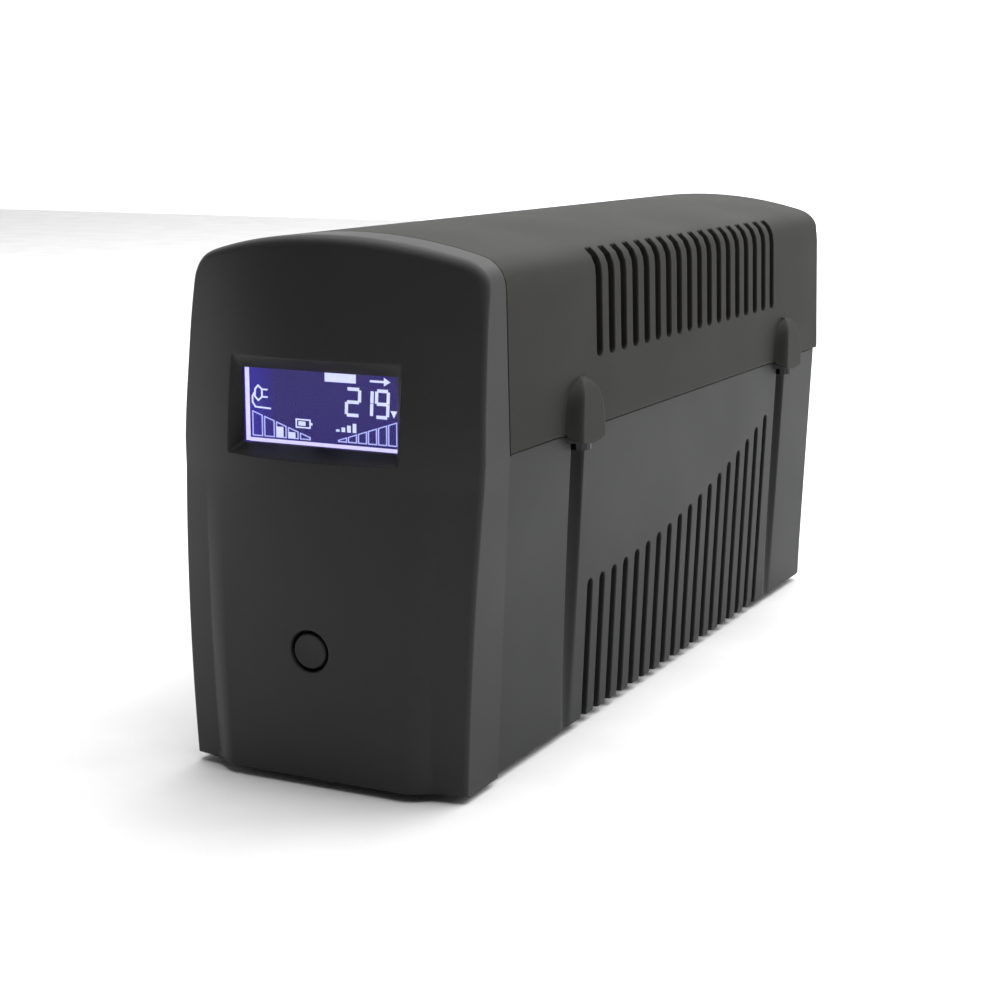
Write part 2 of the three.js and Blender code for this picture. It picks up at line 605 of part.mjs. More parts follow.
// ---- Rear panel ----
// A socket's outline: a rectangle whose two lower corners are cut off.
function socketOutline([width, height], x, z, corner) {
  const [left, right] = about(x, width);
  const [low, high] = about(z, height);
  return polygon([[left, high], [left, low + corner], [left + corner, low], [right - corner, low],
    [right, low + corner], [right, high]]);
}

const socketPlaces = [
  ["outlet_upper_left", -SOCKET_COLUMN_X, OUTLET_ROWS_Z[1]],
  ["outlet_upper_right", SOCKET_COLUMN_X, OUTLET_ROWS_Z[1]],
  ["outlet_lower_left", -SOCKET_COLUMN_X, OUTLET_ROWS_Z[0]],
  ["outlet_lower_right", SOCKET_COLUMN_X, OUTLET_ROWS_Z[0]],
];
const socketBackY = PANEL_FACE_Y - SOCKET_DEPTH;
const socketFaceY = PANEL_FACE_Y + GAP + SOCKET_FLANGE[2];
const throughPanel = [PANEL_BACK_Y - OVER, PANEL_FACE_Y + OVER];

function rearPanel() {
  const outline = housingOutline(BASE_SETBACK + WALL + GAP, FLOOR_Z);
  let panel = plateY(outline, [PANEL_BACK_Y, PANEL_FACE_Y], 5);
  const places = [...socketPlaces, ["inlet", SOCKET_COLUMN_X, INLET_Z]];
  for (const [, x, z] of places) {
    const [width, height] = SOCKET_BARREL;
    panel = cut(panel, block(about(x, width + 2 * GAP), throughPanel, about(z, height + 2 * GAP)));
  }
  const hole = (x, [width, , height]) =>
    block(about(x, width + 2 * GAP), throughPanel, about(PORT_Z, height + 2 * GAP));
  const usb = hole(USB_X, USB_BODY);
  const jack = hole(JACK_X, JACK_BODY);
  const breaker = barY(BREAKER_BUSHING_RADIUS + GAP, -SOCKET_COLUMN_X, throughPanel, INLET_Z);
  return cut(panel, usb, jack, breaker);
}

function socketBody(x, z) {
  const [flangeWidth, flangeHeight] = SOCKET_FLANGE;
  const [width, height] = SOCKET_BARREL;
  const flange = block(about(x, flangeWidth), [PANEL_FACE_Y + GAP, socketFaceY], about(z, flangeHeight));
  const barrel = block(about(x, width), [socketBackY, PANEL_FACE_Y + 2 * GAP], about(z, height));
  return join(flange, barrel);
}

const plugDepth = [socketFaceY - PLUG_DEPTH, socketFaceY + OVER];
const contactPlaces = [[-CONTACT_X, CONTACT_Z], [CONTACT_X, CONTACT_Z], [0, EARTH_Z]];

function outlet(x, z) {
  const room = plateY(socketOutline(PLUG_OUTER, x, z, PLUG_CORNER), plugDepth);
  const islandY = [plugDepth[0] - OVER, socketFaceY - PLUG_BLOCK_SUNK];
  const island = plateY(socketOutline(PLUG_INNER, x, z, PLUG_CORNER), islandY);
  let body = cut(socketBody(x, z), cut(room, island));
  const throughSocket = [socketBackY - OVER, socketFaceY + OVER];
  for (const [dx, dz] of contactPlaces) {
    const [width, height] = CONTACT_SLOT;
    body = cut(body, block(about(x + dx, width), throughSocket, about(z + dz, height)));
  }
  return body;
}

function inletBody() {
  const room = plateY(socketOutline(PLUG_INNER, SOCKET_COLUMN_X, INLET_Z, PLUG_CORNER), plugDepth);
  let body = cut(socketBody(SOCKET_COLUMN_X, INLET_Z), room);
  for (const [dx, dz] of contactPlaces) {
    const hole = [about(SOCKET_COLUMN_X + dx, PIN[0] + 2 * GAP), about(INLET_Z + dz, PIN[1] + 2 * GAP)];
    body = cut(body, block(hole[0], [socketBackY - OVER, socketFaceY], hole[1]));
  }
  return body;
}

function inletPin([dx, dz]) {
  const y = [socketBackY - PIN_TAIL, socketFaceY - PIN_SUNK];
  return block(about(SOCKET_COLUMN_X + dx, PIN[0]), y, about(INLET_Z + dz, PIN[1]));
}

// One strip behind each column of outlets, a link between the strips, and a blade into each outlet.
function busbar([dx, dz], layer) {
  const rearY = socketBackY - BUSBAR_CLEARANCE - BUSBAR_STEP * layer;
  const plane = [rearY - BUSBAR_THICK, rearY];
  const [low, high] = OUTLET_ROWS_Z;
  const strips = [-SOCKET_COLUMN_X, SOCKET_COLUMN_X].map((x) =>
    block(about(x + dx, BUSBAR_WIDTH), plane, [low + dz - BUSBAR_WIDTH / 2, high + dz + BUSBAR_WIDTH / 2]));
  const middle = (low + high) / 2;
  const link = block([dx - SOCKET_COLUMN_X, dx + SOCKET_COLUMN_X], plane, about(middle, BUSBAR_WIDTH));
  const blades = socketPlaces.map(([, x, z]) =>
    block(about(x + dx, CONTACT[0]), [plane[0], socketFaceY - PIN_SUNK], about(z + dz, CONTACT[1])));
  return join(...strips, link, ...blades);
}

const breakerTipY = REAR_Y - GAP;

function breakerBody() {
  const [width, depth, height] = BREAKER_BODY;
  const x = -SOCKET_COLUMN_X;
  const rearY = PANEL_BACK_Y - GAP;
  const box = block(about(x, width), [rearY - depth, rearY], about(INLET_Z, height));
  const bushing = barY(BREAKER_BUSHING_RADIUS, x, [rearY - OVER, socketFaceY - GAP], INLET_Z);
  const boreEnd = breakerTipY - BREAKER_BUTTON_LENGTH - GAP;
  return cut(join(box, bushing), barY(BREAKER_BORE_RADIUS, x, [boreEnd, REAR_Y + OVER], INLET_Z));
}

function breakerNut() {
  const nutY = [PANEL_FACE_Y + GAP, socketFaceY - 2 * GAP];
  const ring = barY(BREAKER_NUT_RADIUS, -SOCKET_COLUMN_X, nutY, INLET_Z, 6);
  return cut(ring, barY(BREAKER_BUSHING_RADIUS + GAP, -SOCKET_COLUMN_X, [PANEL_FACE_Y, REAR_Y], INLET_Z));
}

function breakerButton() {
  const y = [breakerTipY - BREAKER_BUTTON_LENGTH, breakerTipY];
  return barY(BREAKER_BUTTON_RADIUS, -SOCKET_COLUMN_X, y, INLET_Z);
}

const portFaceY = PANEL_FACE_Y + PORT_PROUD;
const portBackY = portFaceY - JACK_BODY[1];
const interfaceBoardY = portBackY - GAP - BOARD_THICK;

function usbPort() {
  const [width, , height] = USB_BODY;
  const body = block(about(USB_X, width), [portBackY, portFaceY], about(PORT_Z, height));
  const roomFrontY = portFaceY - USB_PORT[1];
  const room = block(about(USB_X, USB_PORT[0]), [roomFrontY, portFaceY + OVER], about(PORT_Z, USB_PORT[2]));
  const tongueY = [roomFrontY - OVER, roomFrontY + USB_TONGUE[1]];
  const tongue = block(about(USB_X, USB_TONGUE[0]), tongueY, about(PORT_Z, USB_TONGUE[2]));
  return join(cut(body, room), tongue);
}

function lineJacks() {
  const [width, , height] = JACK_BODY;
  const body = block(about(JACK_X, width), [portBackY, portFaceY], about(PORT_Z, height));
  const portY = [portFaceY - JACK_PORT[1], portFaceY + OVER];
  const ports = [-JACK_PORT_X, JACK_PORT_X].map((dx) =>
    block(about(JACK_X + dx, JACK_PORT[0]), portY, about(PORT_Z, JACK_PORT[2])));
  return cut(body, ...ports);
}

function interfaceBoard() {
  const [width, height] = INTERFACE_BOARD;
  return block(about(0, width), [interfaceBoardY, interfaceBoardY + BOARD_THICK], about(PORT_Z, height));
}

// ---- Battery, tray and main board ----
const batteryTopZ = FLOOR_Z + BATTERY[2];
const batteryY = [BATTERY_FRONT_Y, BATTERY_FRONT_Y + BATTERY[1]];
const batteryCase = () => block(about(0, BATTERY[0]), batteryY, [FLOOR_Z, batteryTopZ]);

function batteryTerminal(side) {
  const [thick, width, height] = TERMINAL;
  const y = about(batteryY[0] + TERMINAL_INSET, width);
  return block(about(side * TERMINAL_X, thick), y, [batteryTopZ + SEAT_GAP, batteryTopZ + height]);
}

const trayTopZ = batteryTopZ + GAP + TRAY_THICK;
const mainBoardZ = trayTopZ + STANDOFF_HEIGHT + GAP;
const boardFaceZ = mainBoardZ + BOARD_THICK + GAP;

function boardTray() {
  const outerX = BATTERY[0] / 2 + GAP + TRAY_THICK;
  const top = block(about(0, 2 * outerX), TRAY_Y, [trayTopZ - TRAY_THICK, trayTopZ]);
  const legs = Object.values(SIDES).map((side) =>
    block(sideRange(side, outerX - TRAY_THICK, outerX), TRAY_Y, [FLOOR_Z, trayTopZ]));
  const standoffs = Object.values(SIDES).flatMap((side) => TRAY_Y.map((y) => {
    const inward = y === TRAY_Y[0] ? STANDOFF_INSET : -STANDOFF_INSET;
    const x = side * (MAIN_BOARD_HALF_WIDTH - STANDOFF_INSET);
    return barZ(STANDOFF_RADIUS, x, y + inward, [trayTopZ - TRAY_THICK / 2, trayTopZ + STANDOFF_HEIGHT], 8);
  }));
  return join(top, ...legs, ...standoffs);
}

function mainBoard() {
  return block(about(0, 2 * MAIN_BOARD_HALF_WIDTH), TRAY_Y, [mainBoardZ, mainBoardZ + BOARD_THICK]);
}

// A base plate with upright fins along the airflow between the cover's slots.
function heatSink(side) {
  const [width, length, height] = HEAT_SINK;
  const middleY = (TRAY_Y[0] + TRAY_Y[1]) / 2;
  const x = about(side * HEAT_SINK_X, width);
  const base = block(x, about(middleY, length), [boardFaceZ, boardFaceZ + HEAT_SINK_BASE]);
  const firstY = middleY - (length - FIN_THICK) / 2;
  const pitch = (length - FIN_THICK) / (FIN_COUNT - 1);
  const finZ = [boardFaceZ + HEAT_SINK_BASE / 2, boardFaceZ + height];
  const finAt = (i) => block(x, about(firstY + i * pitch, FIN_THICK), finZ);
  const fins = Array.from({ length: FIN_COUNT }, (_, i) => finAt(i));
  return join(base, ...fins);
}

function capacitor(y) {
  return barZ(CAPACITOR_RADIUS, -CAPACITOR_RADIUS, y, [boardFaceZ, boardFaceZ + CAPACITOR_HEIGHT], 16);
}

function relay(y) {
  return block([GAP, GAP + RELAY[0]], about(y, RELAY[1]), [boardFaceZ, boardFaceZ + RELAY[2]]);
}

// ---- Transformer ----
const coreZ = [FLOOR_Z + CORE_SUPPORT + STRAP_THICK, FLOOR_Z + CORE_SUPPORT + STRAP_THICK + CORE[2]];
const coreFrontY = batteryY[1] + CORE_CLEARANCE;
const strapBossZ = WALL + STRAP_BOSS;
const strapFootZ = [strapBossZ + GAP, strapBossZ + GAP + STRAP_THICK];
const coreY = [coreFrontY, coreFrontY + CORE[1]];
const strapScrewPlaces = [
  coreY[0] - GAP - STRAP_THICK - STRAP_FOOT / 2,
  coreY[1] + GAP + STRAP_THICK + STRAP_FOOT / 2,
];

// Two windows, one each side of the middle limb, leave room for the winding.
function transformerWindows(clearance) {
  const middleY = (coreY[0] + coreY[1]) / 2;
  const z = [coreZ[0] + CORE_LIMB + clearance, coreZ[1] - CORE_LIMB - clearance];
  return [-1, 1].map((way) => {
    const near = middleY + way * (CORE_LIMB - clearance + 2 * clearance);
    const far = way > 0 ? coreY[1] - CORE_LIMB - clearance : coreY[0] + CORE_LIMB + clearance;
    return { y: [Math.min(near, far), Math.max(near, far)], z };
  });
}

function transformerCore() {
  const body = block(about(0, CORE[0]), coreY, coreZ);
  return cut(body, ...transformerWindows(0).map(({ y, z }) => block(about(0, CORE[0] + 2 * OVER), y, z)));
}

function transformerWinding() {
  const [low, high] = transformerWindows(GAP);
  const reach = CORE[0] / 2 + WINDING_BULGE;
  const outer = block([-reach, reach], [low.y[0], high.y[1]], low.z);
  const limb = block(about(0, CORE[0] + 2 * GAP), [low.y[1], high.y[0]], [0, CROWN_Z]);
  return cut(outer, limb);
}

function transformerStrap() {
  const outerY = [coreY[0] - GAP - STRAP_THICK, coreY[1] + GAP + STRAP_THICK];
  const topZ = coreZ[1] + GAP + STRAP_THICK;
  const x = about(0, STRAP_WIDTH);
  const hoop = block(x, outerY, [strapFootZ[0], topZ]);
  const room = block(about(0, STRAP_WIDTH + 2 * OVER), [coreY[0] - GAP, coreY[1] + GAP], [0, coreZ[1] + GAP]);
  const feet = block(x, [outerY[0] - STRAP_FOOT, outerY[1] + STRAP_FOOT], strapFootZ);
  const holes = strapScrewPlaces.map((y) => barZ(STRAP_SCREW_RADIUS + GAP, 0, y, [0, coreZ[1]], 10));
  return cut(join(hoop, feet), room, ...holes);
}

function strapScrew(y) {
  const seat = strapFootZ[1] + GAP;
  const shank = barZ(STRAP_SCREW_RADIUS, 0, y, [WALL / 2 + GAP, seat + STRAP_HEAD / 2], 10);
  return join(shank, barZ(STRAP_SCREW_RADIUS + STRAP_HEAD_LIP, 0, y, [seat, seat + STRAP_HEAD], 12));
}

// ---- Leads and wiring ----
// From a terminal, up and back to the front edge of the main board, through points chosen by hand.
function batteryLead(side) {
  const x = side * TERMINAL_X;
  const y = batteryY[0] + TERMINAL_INSET;
  const startZ = batteryTopZ + TERMINAL[2] + GAP;
  const endZ = boardFaceZ + LEAD_RADIUS + GAP;
  return tube([
    [x, y, startZ],
    [x, y + 1, startZ + 6],
    [x * 0.95, y + 9, endZ + 4],
    [x * 0.8, TRAY_Y[0] - 4, endZ + 3],
    [x * 0.75, TRAY_Y[0] + 6, endZ],
  ], LEAD_RADIUS, 12);
}

// From the back of the display board, up and back over the battery to the main board.
function displayRibbon() {
  const [width, thick] = RIBBON;
  const frontY = displayBoardY + BOARD_THICK + GAP;
  const topZ = boardFaceZ + RIBBON_RISE;
  const endY = TRAY_Y[0] + RIBBON_INSET;
  const shape = polygon([
    [frontY, topZ],
    [endY, topZ],
    [endY, boardFaceZ],
    [endY + thick, boardFaceZ],
    [endY + thick, topZ + thick],
    [frontY, topZ + thick],
  ]);
  return plateX(shape, about(0, width));
}

// From behind the inlet, past the transformer, to the rear of the main board, through points chosen by hand.
function mainsHarness() {
  const x = SOCKET_COLUMN_X + CONTACT_X + BUSBAR_WIDTH / 2 + BUNDLE_RADIUS + BUSBAR_CLEARANCE;
  const y = coreY[1] + BUNDLE_RADIUS + GAP;
  return tube([
    [x, y, INLET_Z],
    [x, y, OUTLET_ROWS_Z[0]],
    [x - 1, y - 6, OUTLET_ROWS_Z[1]],
    [x - 4, (y + TRAY_Y[1]) / 2, boardFaceZ + 6],
    [x - 8, TRAY_Y[1] + 4, boardFaceZ + 6],
    [x - 9, TRAY_Y[1] - 6, boardFaceZ + BUNDLE_RADIUS + GAP],
  ], BUNDLE_RADIUS, 18);
}

// ---- Materials ----
const finish = (color, roughness, metalness = 0) => () =>
  new THREE.MeshStandardMaterial({ color, roughness, metalness });
const housingPlastic = finish(0x34353a, 0.62);
const bezelPlastic = finish(0x2b2d31, 0.6);
const rubber = finish(0x17181a, 0.95);
const blackPlastic = finish(0x141517, 0.45);
const steel = finish(0xb0b2b5, 0.35, 1);
const brass = finish(0xc8a35a, 0.3, 1);
const aluminium = finish(0xb8babd, 0.4, 1);
const copper = finish(0xa3552f, 0.4, 0.8);
const iron = finish(0x5a5a5e, 0.6, 0.7);
const boardGreen = finish(0x1f5a33, 0.5);
const clear = finish(0xdfe6ee, 0.05);
const lcdViolet = finish(0x2e2a6c, 0.2);
const diffuser = finish(0xe8e8ec, 0.6);
const batteryPlastic = finish(0x3d3f42, 0.5);
const relayBlue = finish(0x1b4f8a, 0.45);
const redLead = finish(0xa81f1c, 0.5);
const blackLead = finish(0x161616, 0.55);
const greyRibbon = finish(0x9a9c9f, 0.6);
const tinned = finish(0xc9cbce, 0.3, 1);

// ---- Assembly ----
const tower = new THREE.Group();

function add(name, solid, material) {
  const mesh = new THREE.Mesh(geometryOf(solid), material());
  mesh.name = name;
  tower.add(mesh);
}

add("base_shell", baseShell(), housingPlastic);
add("top_cover", topCover(), housingPlastic);
add("front_bezel", frontBezel(), bezelPlastic);
add("rear_panel", rearPanel(), housingPlastic);
for (const [sideName, side] of Object.entries(SIDES)) {
  add("foot_front_" + sideName, foot(side, FOOT_FRONT_Y), rubber);
  add("foot_rear_" + sideName, foot(side, REAR_Y - FOOT_REAR_INSET), rubber);
  for (const [end, y] of Object.entries(screwPlaces)) {
    add("housing_screw_" + end + "_" + sideName, housingScrew(side, y), steel);
  }
}
add("display_window", displayWindow(), clear);
add("lcd_glass", lcdGlass(), lcdViolet);
add("lcd_backlight", lcdBacklight(), diffuser);
add("display_board", displayBoard(), boardGreen);
add("button_cap", buttonCap(), bezelPlastic);
add("switch_plunger", switchPlunger(), blackPlastic);
add("switch_body", switchBody(), blackPlastic);
add("buzzer", buzzer(), blackPlastic);
add("display_ribbon", displayRibbon(), greyRibbon);
for (const [name, x, z] of socketPlaces) add(name, outlet(x, z), blackPlastic);
add("inlet_body", inletBody(), blackPlastic);
["line", "neutral", "earth"].forEach((name, i) => {
  add("inlet_pin_" + name, inletPin(contactPlaces[i]), tinned);
  add("outlet_busbar_" + name, busbar(contactPlaces[i], i), brass);
});
add("breaker_body", breakerBody(), blackPlastic);
add("breaker_nut", breakerNut(), steel);
add("breaker_button", breakerButton(), blackPlastic);
add("usb_port", usbPort(), tinned);
add("line_jacks", lineJacks(), blackPlastic);
add("interface_board", interfaceBoard(), boardGreen);
add("battery_case", batteryCase(), batteryPlastic);
add("battery_terminal_positive", batteryTerminal(SIDES.right), tinned);
add("battery_terminal_negative", batteryTerminal(SIDES.left), tinned);
add("battery_lead_positive", batteryLead(SIDES.right), redLead);
add("battery_lead_negative", batteryLead(SIDES.left), blackLead);
add("board_tray", boardTray(), steel);
add("main_board", mainBoard(), boardGreen);
add("heat_sink_left", heatSink(SIDES.left), aluminium);
add("heat_sink_right", heatSink(SIDES.right), aluminium);
add("capacitor_front", capacitor(CAPACITOR_Y[0]), blackPlastic);
add("capacitor_rear", capacitor(CAPACITOR_Y[1]), blackPlastic);
add("relay_front", relay(RELAY_Y[0]), relayBlue);
add("relay_rear", relay(RELAY_Y[1]), relayBlue);
add("transformer_core", transformerCore(), iron);
add("transformer_winding", transformerWinding(), copper);
add("transformer_strap", transformerStrap(), steel);
add("strap_screw_front", strapScrew(strapScrewPlaces[0]), steel);
add("strap_screw_rear", strapScrew(strapScrewPlaces[1]), steel);
add("mains_harness", mainsHarness(), blackLead);

// The tower stands on its feet, with the middle of its depth over the origin.
tower.position.set(0, -(FACE_CREST_Y + REAR_Y) / 2, FOOT_PROUD);
const part = new THREE.Group();
part.add(tower);
export default part;
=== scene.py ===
import math

import bpy
import numpy as np
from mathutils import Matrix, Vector, geometry


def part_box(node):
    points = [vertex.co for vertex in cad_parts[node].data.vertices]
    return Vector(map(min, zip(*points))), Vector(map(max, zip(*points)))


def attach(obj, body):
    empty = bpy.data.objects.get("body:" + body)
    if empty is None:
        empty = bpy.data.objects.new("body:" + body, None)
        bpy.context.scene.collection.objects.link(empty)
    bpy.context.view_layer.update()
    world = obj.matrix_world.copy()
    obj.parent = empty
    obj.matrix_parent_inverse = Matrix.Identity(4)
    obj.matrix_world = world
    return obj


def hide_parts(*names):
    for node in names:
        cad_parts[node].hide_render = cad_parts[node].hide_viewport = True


# The looks of a slim tower uninterruptible power supply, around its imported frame.
# The shells, the bezel and the button are fine meshes built here, which replace their CAD nodes. The rest
# are the CAD nodes with materials and softened edges. Shapes are in millimetres, with x to the right, y from
# front to back and z up from the base's underside, and place() puts them in the frame, in metres.

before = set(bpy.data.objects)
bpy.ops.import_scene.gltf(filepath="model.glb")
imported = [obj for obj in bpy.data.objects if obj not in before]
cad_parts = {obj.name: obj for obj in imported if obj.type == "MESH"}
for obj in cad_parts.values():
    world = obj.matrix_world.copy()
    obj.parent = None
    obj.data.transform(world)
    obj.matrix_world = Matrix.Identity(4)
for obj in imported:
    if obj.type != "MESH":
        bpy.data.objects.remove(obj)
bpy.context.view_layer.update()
MM = 0.001

# ---- Sizes taken from the frame, in millimetres ----
REAR_Y = 277.0  # rear face of the cover, which fixes where y is 0
DATUM = Vector((0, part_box("top_cover")[1].y - REAR_Y * MM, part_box("base_shell")[0].z))


def low(node):
    """A CAD node's lowest corner, in millimetres from the datum."""
    return (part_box(node)[0] - DATUM) / MM


def high(node):
    return (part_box(node)[1] - DATUM) / MM


SEAM_HALF_WIDTH = high("front_bezel").x
CROWN_Z = high("front_bezel").z
FACE_CREST_Y = low("front_bezel").y
SHELL_FRONT_Y = low("top_cover").y
BASE_REAR_Y = high("base_shell").y
BASE_TOP_Z = high("base_shell").z
POD_PROUD = high("top_cover").x - SEAM_HALF_WIDTH
POD_LOW_Z = low("top_cover").z
SCREWS_Y = [(low(n).y + high(n).y) / 2 for n in ("housing_screw_front_right", "housing_screw_rear_right")]
SCREW_X = (low("housing_screw_front_right").x + high("housing_screw_front_right").x) / 2
WINDOW_BORDER = 1.5
WINDOW = (low("display_window") + Vector((WINDOW_BORDER, 0, WINDOW_BORDER)),
          high("display_window") - Vector((WINDOW_BORDER, 0, WINDOW_BORDER)))
BUTTON_Z = (low("switch_body").z + high("switch_body").z) / 2

# ---- Shape of the housing, in millimetres ----
WALL = 2.5
SEAM_Z = 87.0
COVER_DRAFT = 0.027
BASE_DRAFT = 0.041
BASE_SETBACK = REAR_Y - BASE_REAR_Y
ROOF_RADIUS = 139.0
ROOF_CORNER = 6.5
BASE_CORNER = 1.0
REAR_ROUND = 2.0
REAR_ROUND_LOW = 0.7  # the same at the base's lower corners
REAR_ROUND_BLEND = 12.0
BEZEL_REAR_Y = 17.5
SEAM_EDGE = 0.25  # rounding of the edges along the joint between bezel and shells
COVER_LOW_EDGE = 0.8  # rounding of the cover's lower edge
SKIRT_WALL = 1.1
SLOT_EDGE = 0.45
SLOT_PLACES = [75.6 + 8.717 * i for i in range(18)]
COVER_SLOT_WIDTH = 3.9
COVER_SLOT_LOW_Z = 106.0
SLOT_WRAP = 4.9
BASE_SLOT_WIDTH = 3.6
BASE_SLOT_DEPTH = 3.5
BASE_SLOT_TOP_Z = 41.8  # top of the first slot in the base
BASE_SLOT_RISE = 0.0927  # how fast the tops of the others rise, with the square of their number
GROOVE_RADIUS = 4.45
GROOVE_DEEPENING = 1.45  # how much deeper the grooves are than a round of the same radius
GROOVE_SOFT = 0.5  # rounding of the grooves' edges
GROOVE_FADE = 3.0
POD_HALF_WIDTH = 11.5
POD_OUTLINE = 2.6  # exponent of the pods' outline, where 2 would be an ellipse
POD_FALL = 5  # exponent of how the pods fall away towards their top
POD_FLANK = 0.4  # share of a pod's half width that its sloping flank takes
FLANK_FALL, FLANK_SWELL = 2.2, 1.2
SKIRT_INSET = 0.35  # how far the cover's skirt stops short of a pod's width
SKIRT_EDGE = 0.45
SKIRT_BACK = 0.85  # how far the skirt reaches behind the cover's side
TAB_HALF_WIDTH = 9.2
TAB_PROUD = 2.5
TAB_THICKNESS = 2.4
TAB_CLEARANCE = 0.02
SCREW_HOLE = 1.9
POD_TOP_Z = 101.6
OPENING_HALF_WIDTH = 36.0
OPENING_LOW_Z = 7.5
OPENING_TOP_Z = 131.0
OPENING_CORNER = 2.5

# ---- Shape of the bezel's face, in millimetres ----
FACE_CREST_Z = 80.0
FACE_CURL = 0.003
FACE_LOW_Y = -4.9
FACE_BOW = 0.006
FACE_BOW_LOW = 0.0026
FACE_BOW_LOSS = 0.0025
FACE_BOW_Z = 100.0
PLATEAU_LOW_Y = -5.8
PLATEAU_EDGE = 32.5
PLATEAU_FLARE = 2.0
PLATEAU_SLOPE = 6.5
PLATEAU_SOFT = 1.6  # exponent of the plateau's slope
FACE_ROUND = 2.6
FACE_ROUND_LOW_Z = 118.0  # the edge's rounding grows from SIDE_ROUND at this height
FACE_ROUND_RISE = 20.0  # and reaches FACE_ROUND this much higher
SIDE_ROUND = 1.2
RECESS_HALF_WIDTH = 25.5
RECESS_LOW_Z = 86.0
RECESS_TOP_Z = 111.7
RECESS_SOFT = 0.10  # softness of the corners between the recess's sloping sides
RECESS_START = 0.09  # softness of the recess's outer edge
WINDOW_EDGE = 0.12
WINDOW_Y = WINDOW[0].y - 0.9
LIP = 0.6
BUTTON_RADIUS = 4.75
BUTTON_HOLE = 5.6
BUTTON_FLANGE = 7.0
BUTTON_FLANGE_BACK = 5.0  # from the front of the flange to the end of the stem
BUTTON_FLANGE_THICKNESS = 1.2
BUTTON_STEM = 2.2
BUTTON_EDGE = 0.55  # rounding of the cap's edge, and of the hole round it
INNER_BLEND = 12.0  # how far from the outline the bezel's inner skin is drawn in

ARC = [math.radians(a) for a in (0, 25, 50, 72, 90)]  # steps round a softened edge
EDGE_CLEARANCE = 1.25  # how many times an edge's rounding the grid keeps clear of it
EDGE_GAP = 0.12  # and how much further
HAIR = 0.01  # a tolerance when domain points are told apart
MITRE = 0.3  # the least that sharp corners are held to
SHARP_ANGLE = math.radians(35)
BEVEL_ANGLE = math.radians(40)


# ---- Camera, floor and lights ----
LENS, SENSOR = 70.4, 36
EYE = (0.2621, -0.5579, 0.1760)
EYE_DOWN, EYE_TURN = 11.33, 26.45  # degrees below level, and round from straight ahead
SURROUND_LIGHT = 0.06


def camera():
    """The view from the front right, a little above the roof."""
    data = bpy.data.cameras.new("camera")
    data.lens = LENS
    data.sensor_width = SENSOR
    data.clip_end = 50
    eye = bpy.data.objects.new("camera", data)
    eye.location = EYE
    eye.rotation_euler = (math.radians(90 - EYE_DOWN), 0, math.radians(EYE_TURN))
    bpy.context.scene.collection.objects.link(eye)
    bpy.context.scene.camera = eye
    bpy.context.scene.view_settings.view_transform = "Standard"


def soft_light(name, place, aim, size, power):
    data = bpy.data.lights.new(name, "AREA")
    data.shape = "RECTANGLE"
    data.size, data.size_y = size
    data.energy = power
    lamp = bpy.data.objects.new(name, data)
    lamp.location = place
    lamp.rotation_euler = (Vector(aim) - Vector(place)).to_track_quat("-Z", "Y").to_euler()
    bpy.context.scene.collection.objects.link(lamp)


def studio():
    """A pale floor and a lit backdrop, with a large softbox overhead and a small one on either side."""
    world = bpy.data.worlds.new("surround")
    bpy.context.scene.world = world
    world.use_nodes = True
    set_inputs(world.node_tree.nodes["Background"], {"Color": (1, 1, 1, 1), "Strength": SURROUND_LIGHT})
    bpy.ops.mesh.primitive_plane_add(size=12)
    floor = bpy.context.object
    floor.name = "floor"
    floor.data.materials.append(plastic("floor_paper", (0.92, 0.92, 0.92), 0.9, grain=0.0))
    bpy.ops.mesh.primitive_plane_add(size=9, location=(-1.0, 2.2, 4.4), rotation=(math.radians(90), 0, 0))
    backdrop = bpy.context.object
    backdrop.name = "backdrop"
    backdrop.data.materials.append(lit_segment("backdrop_paper", (1, 1, 1), 1.1))
    soft_light("overhead", (0.3, 0.4, 1.6), (0, 0.05, 0), (2.6, 2.8), 62)
    soft_light("right_side", (1.5, 0.7, 0.6), (0, 0, 0.07), (1.0, 0.8), 2.2)
    soft_light("left_side", (-1.3, -0.35, 0.25), (0, 0, 0.05), (0.8, 0.5), 1.6)


# ---- Materials ----
SHEEN = 0.25  # specular level of the plastics and metals
# how much lighter convex edges are painted: a painted highlight
EDGE_HIGHLIGHT_PAINT = 0.5
GRAIN_DEPTH, SCRATCH_DEPTH = 0.00012, 0.00005  # in metres


def node_of(tree, kind, **values):
    made = tree.nodes.new(kind)
    for name, value in values.items():
        setattr(made, name, value)
    return made


def set_inputs(node, values):
    for name, value in values.items():
        node.inputs[name].default_value = value


def noise(tree, where, scale, detail=2.0, roughness=0.5):
    made = node_of(tree, "ShaderNodeTexNoise")
    set_inputs(made, {"Scale": scale, "Detail": detail, "Roughness": roughness})
    tree.links.new(where, made.inputs["Vector"])
    return made.outputs["Fac"]


def mixed(tree, share, first, second):
    """Colour between two colours or sockets, by share."""
    mix = node_of(tree, "ShaderNodeMix", data_type="RGBA")
    for socket, value in ((mix.inputs[0], share), (mix.inputs[6], first), (mix.inputs[7], second)):
        if isinstance(value, bpy.types.NodeSocket):
            tree.links.new(value, socket)
        else:
            socket.default_value = value if isinstance(value, float) else (*value[:3], 1)
    return mix.outputs[2]


def ramp(tree, value, low_at, high_at, to=(0.0, 1.0)):
    """Value stretched so that low_at becomes the first number of to, and high_at the second."""
    made = node_of(tree, "ShaderNodeMapRange")
    set_inputs(made, {"From Min": low_at, "From Max": high_at, "To Min": to[0], "To Max": to[1]})
    tree.links.new(value, made.inputs["Value"])
    return made.outputs["Result"]


def relief(tree, shader, height, strength, depth):
    """Gives the shader a fine relief, with its depth in metres."""
    bump = node_of(tree, "ShaderNodeBump")
    set_inputs(bump, {"Strength": strength, "Distance": depth})
    tree.links.new(height, bump.inputs["Height"])
    tree.links.new(bump.outputs["Normal"], shader.inputs["Normal"])


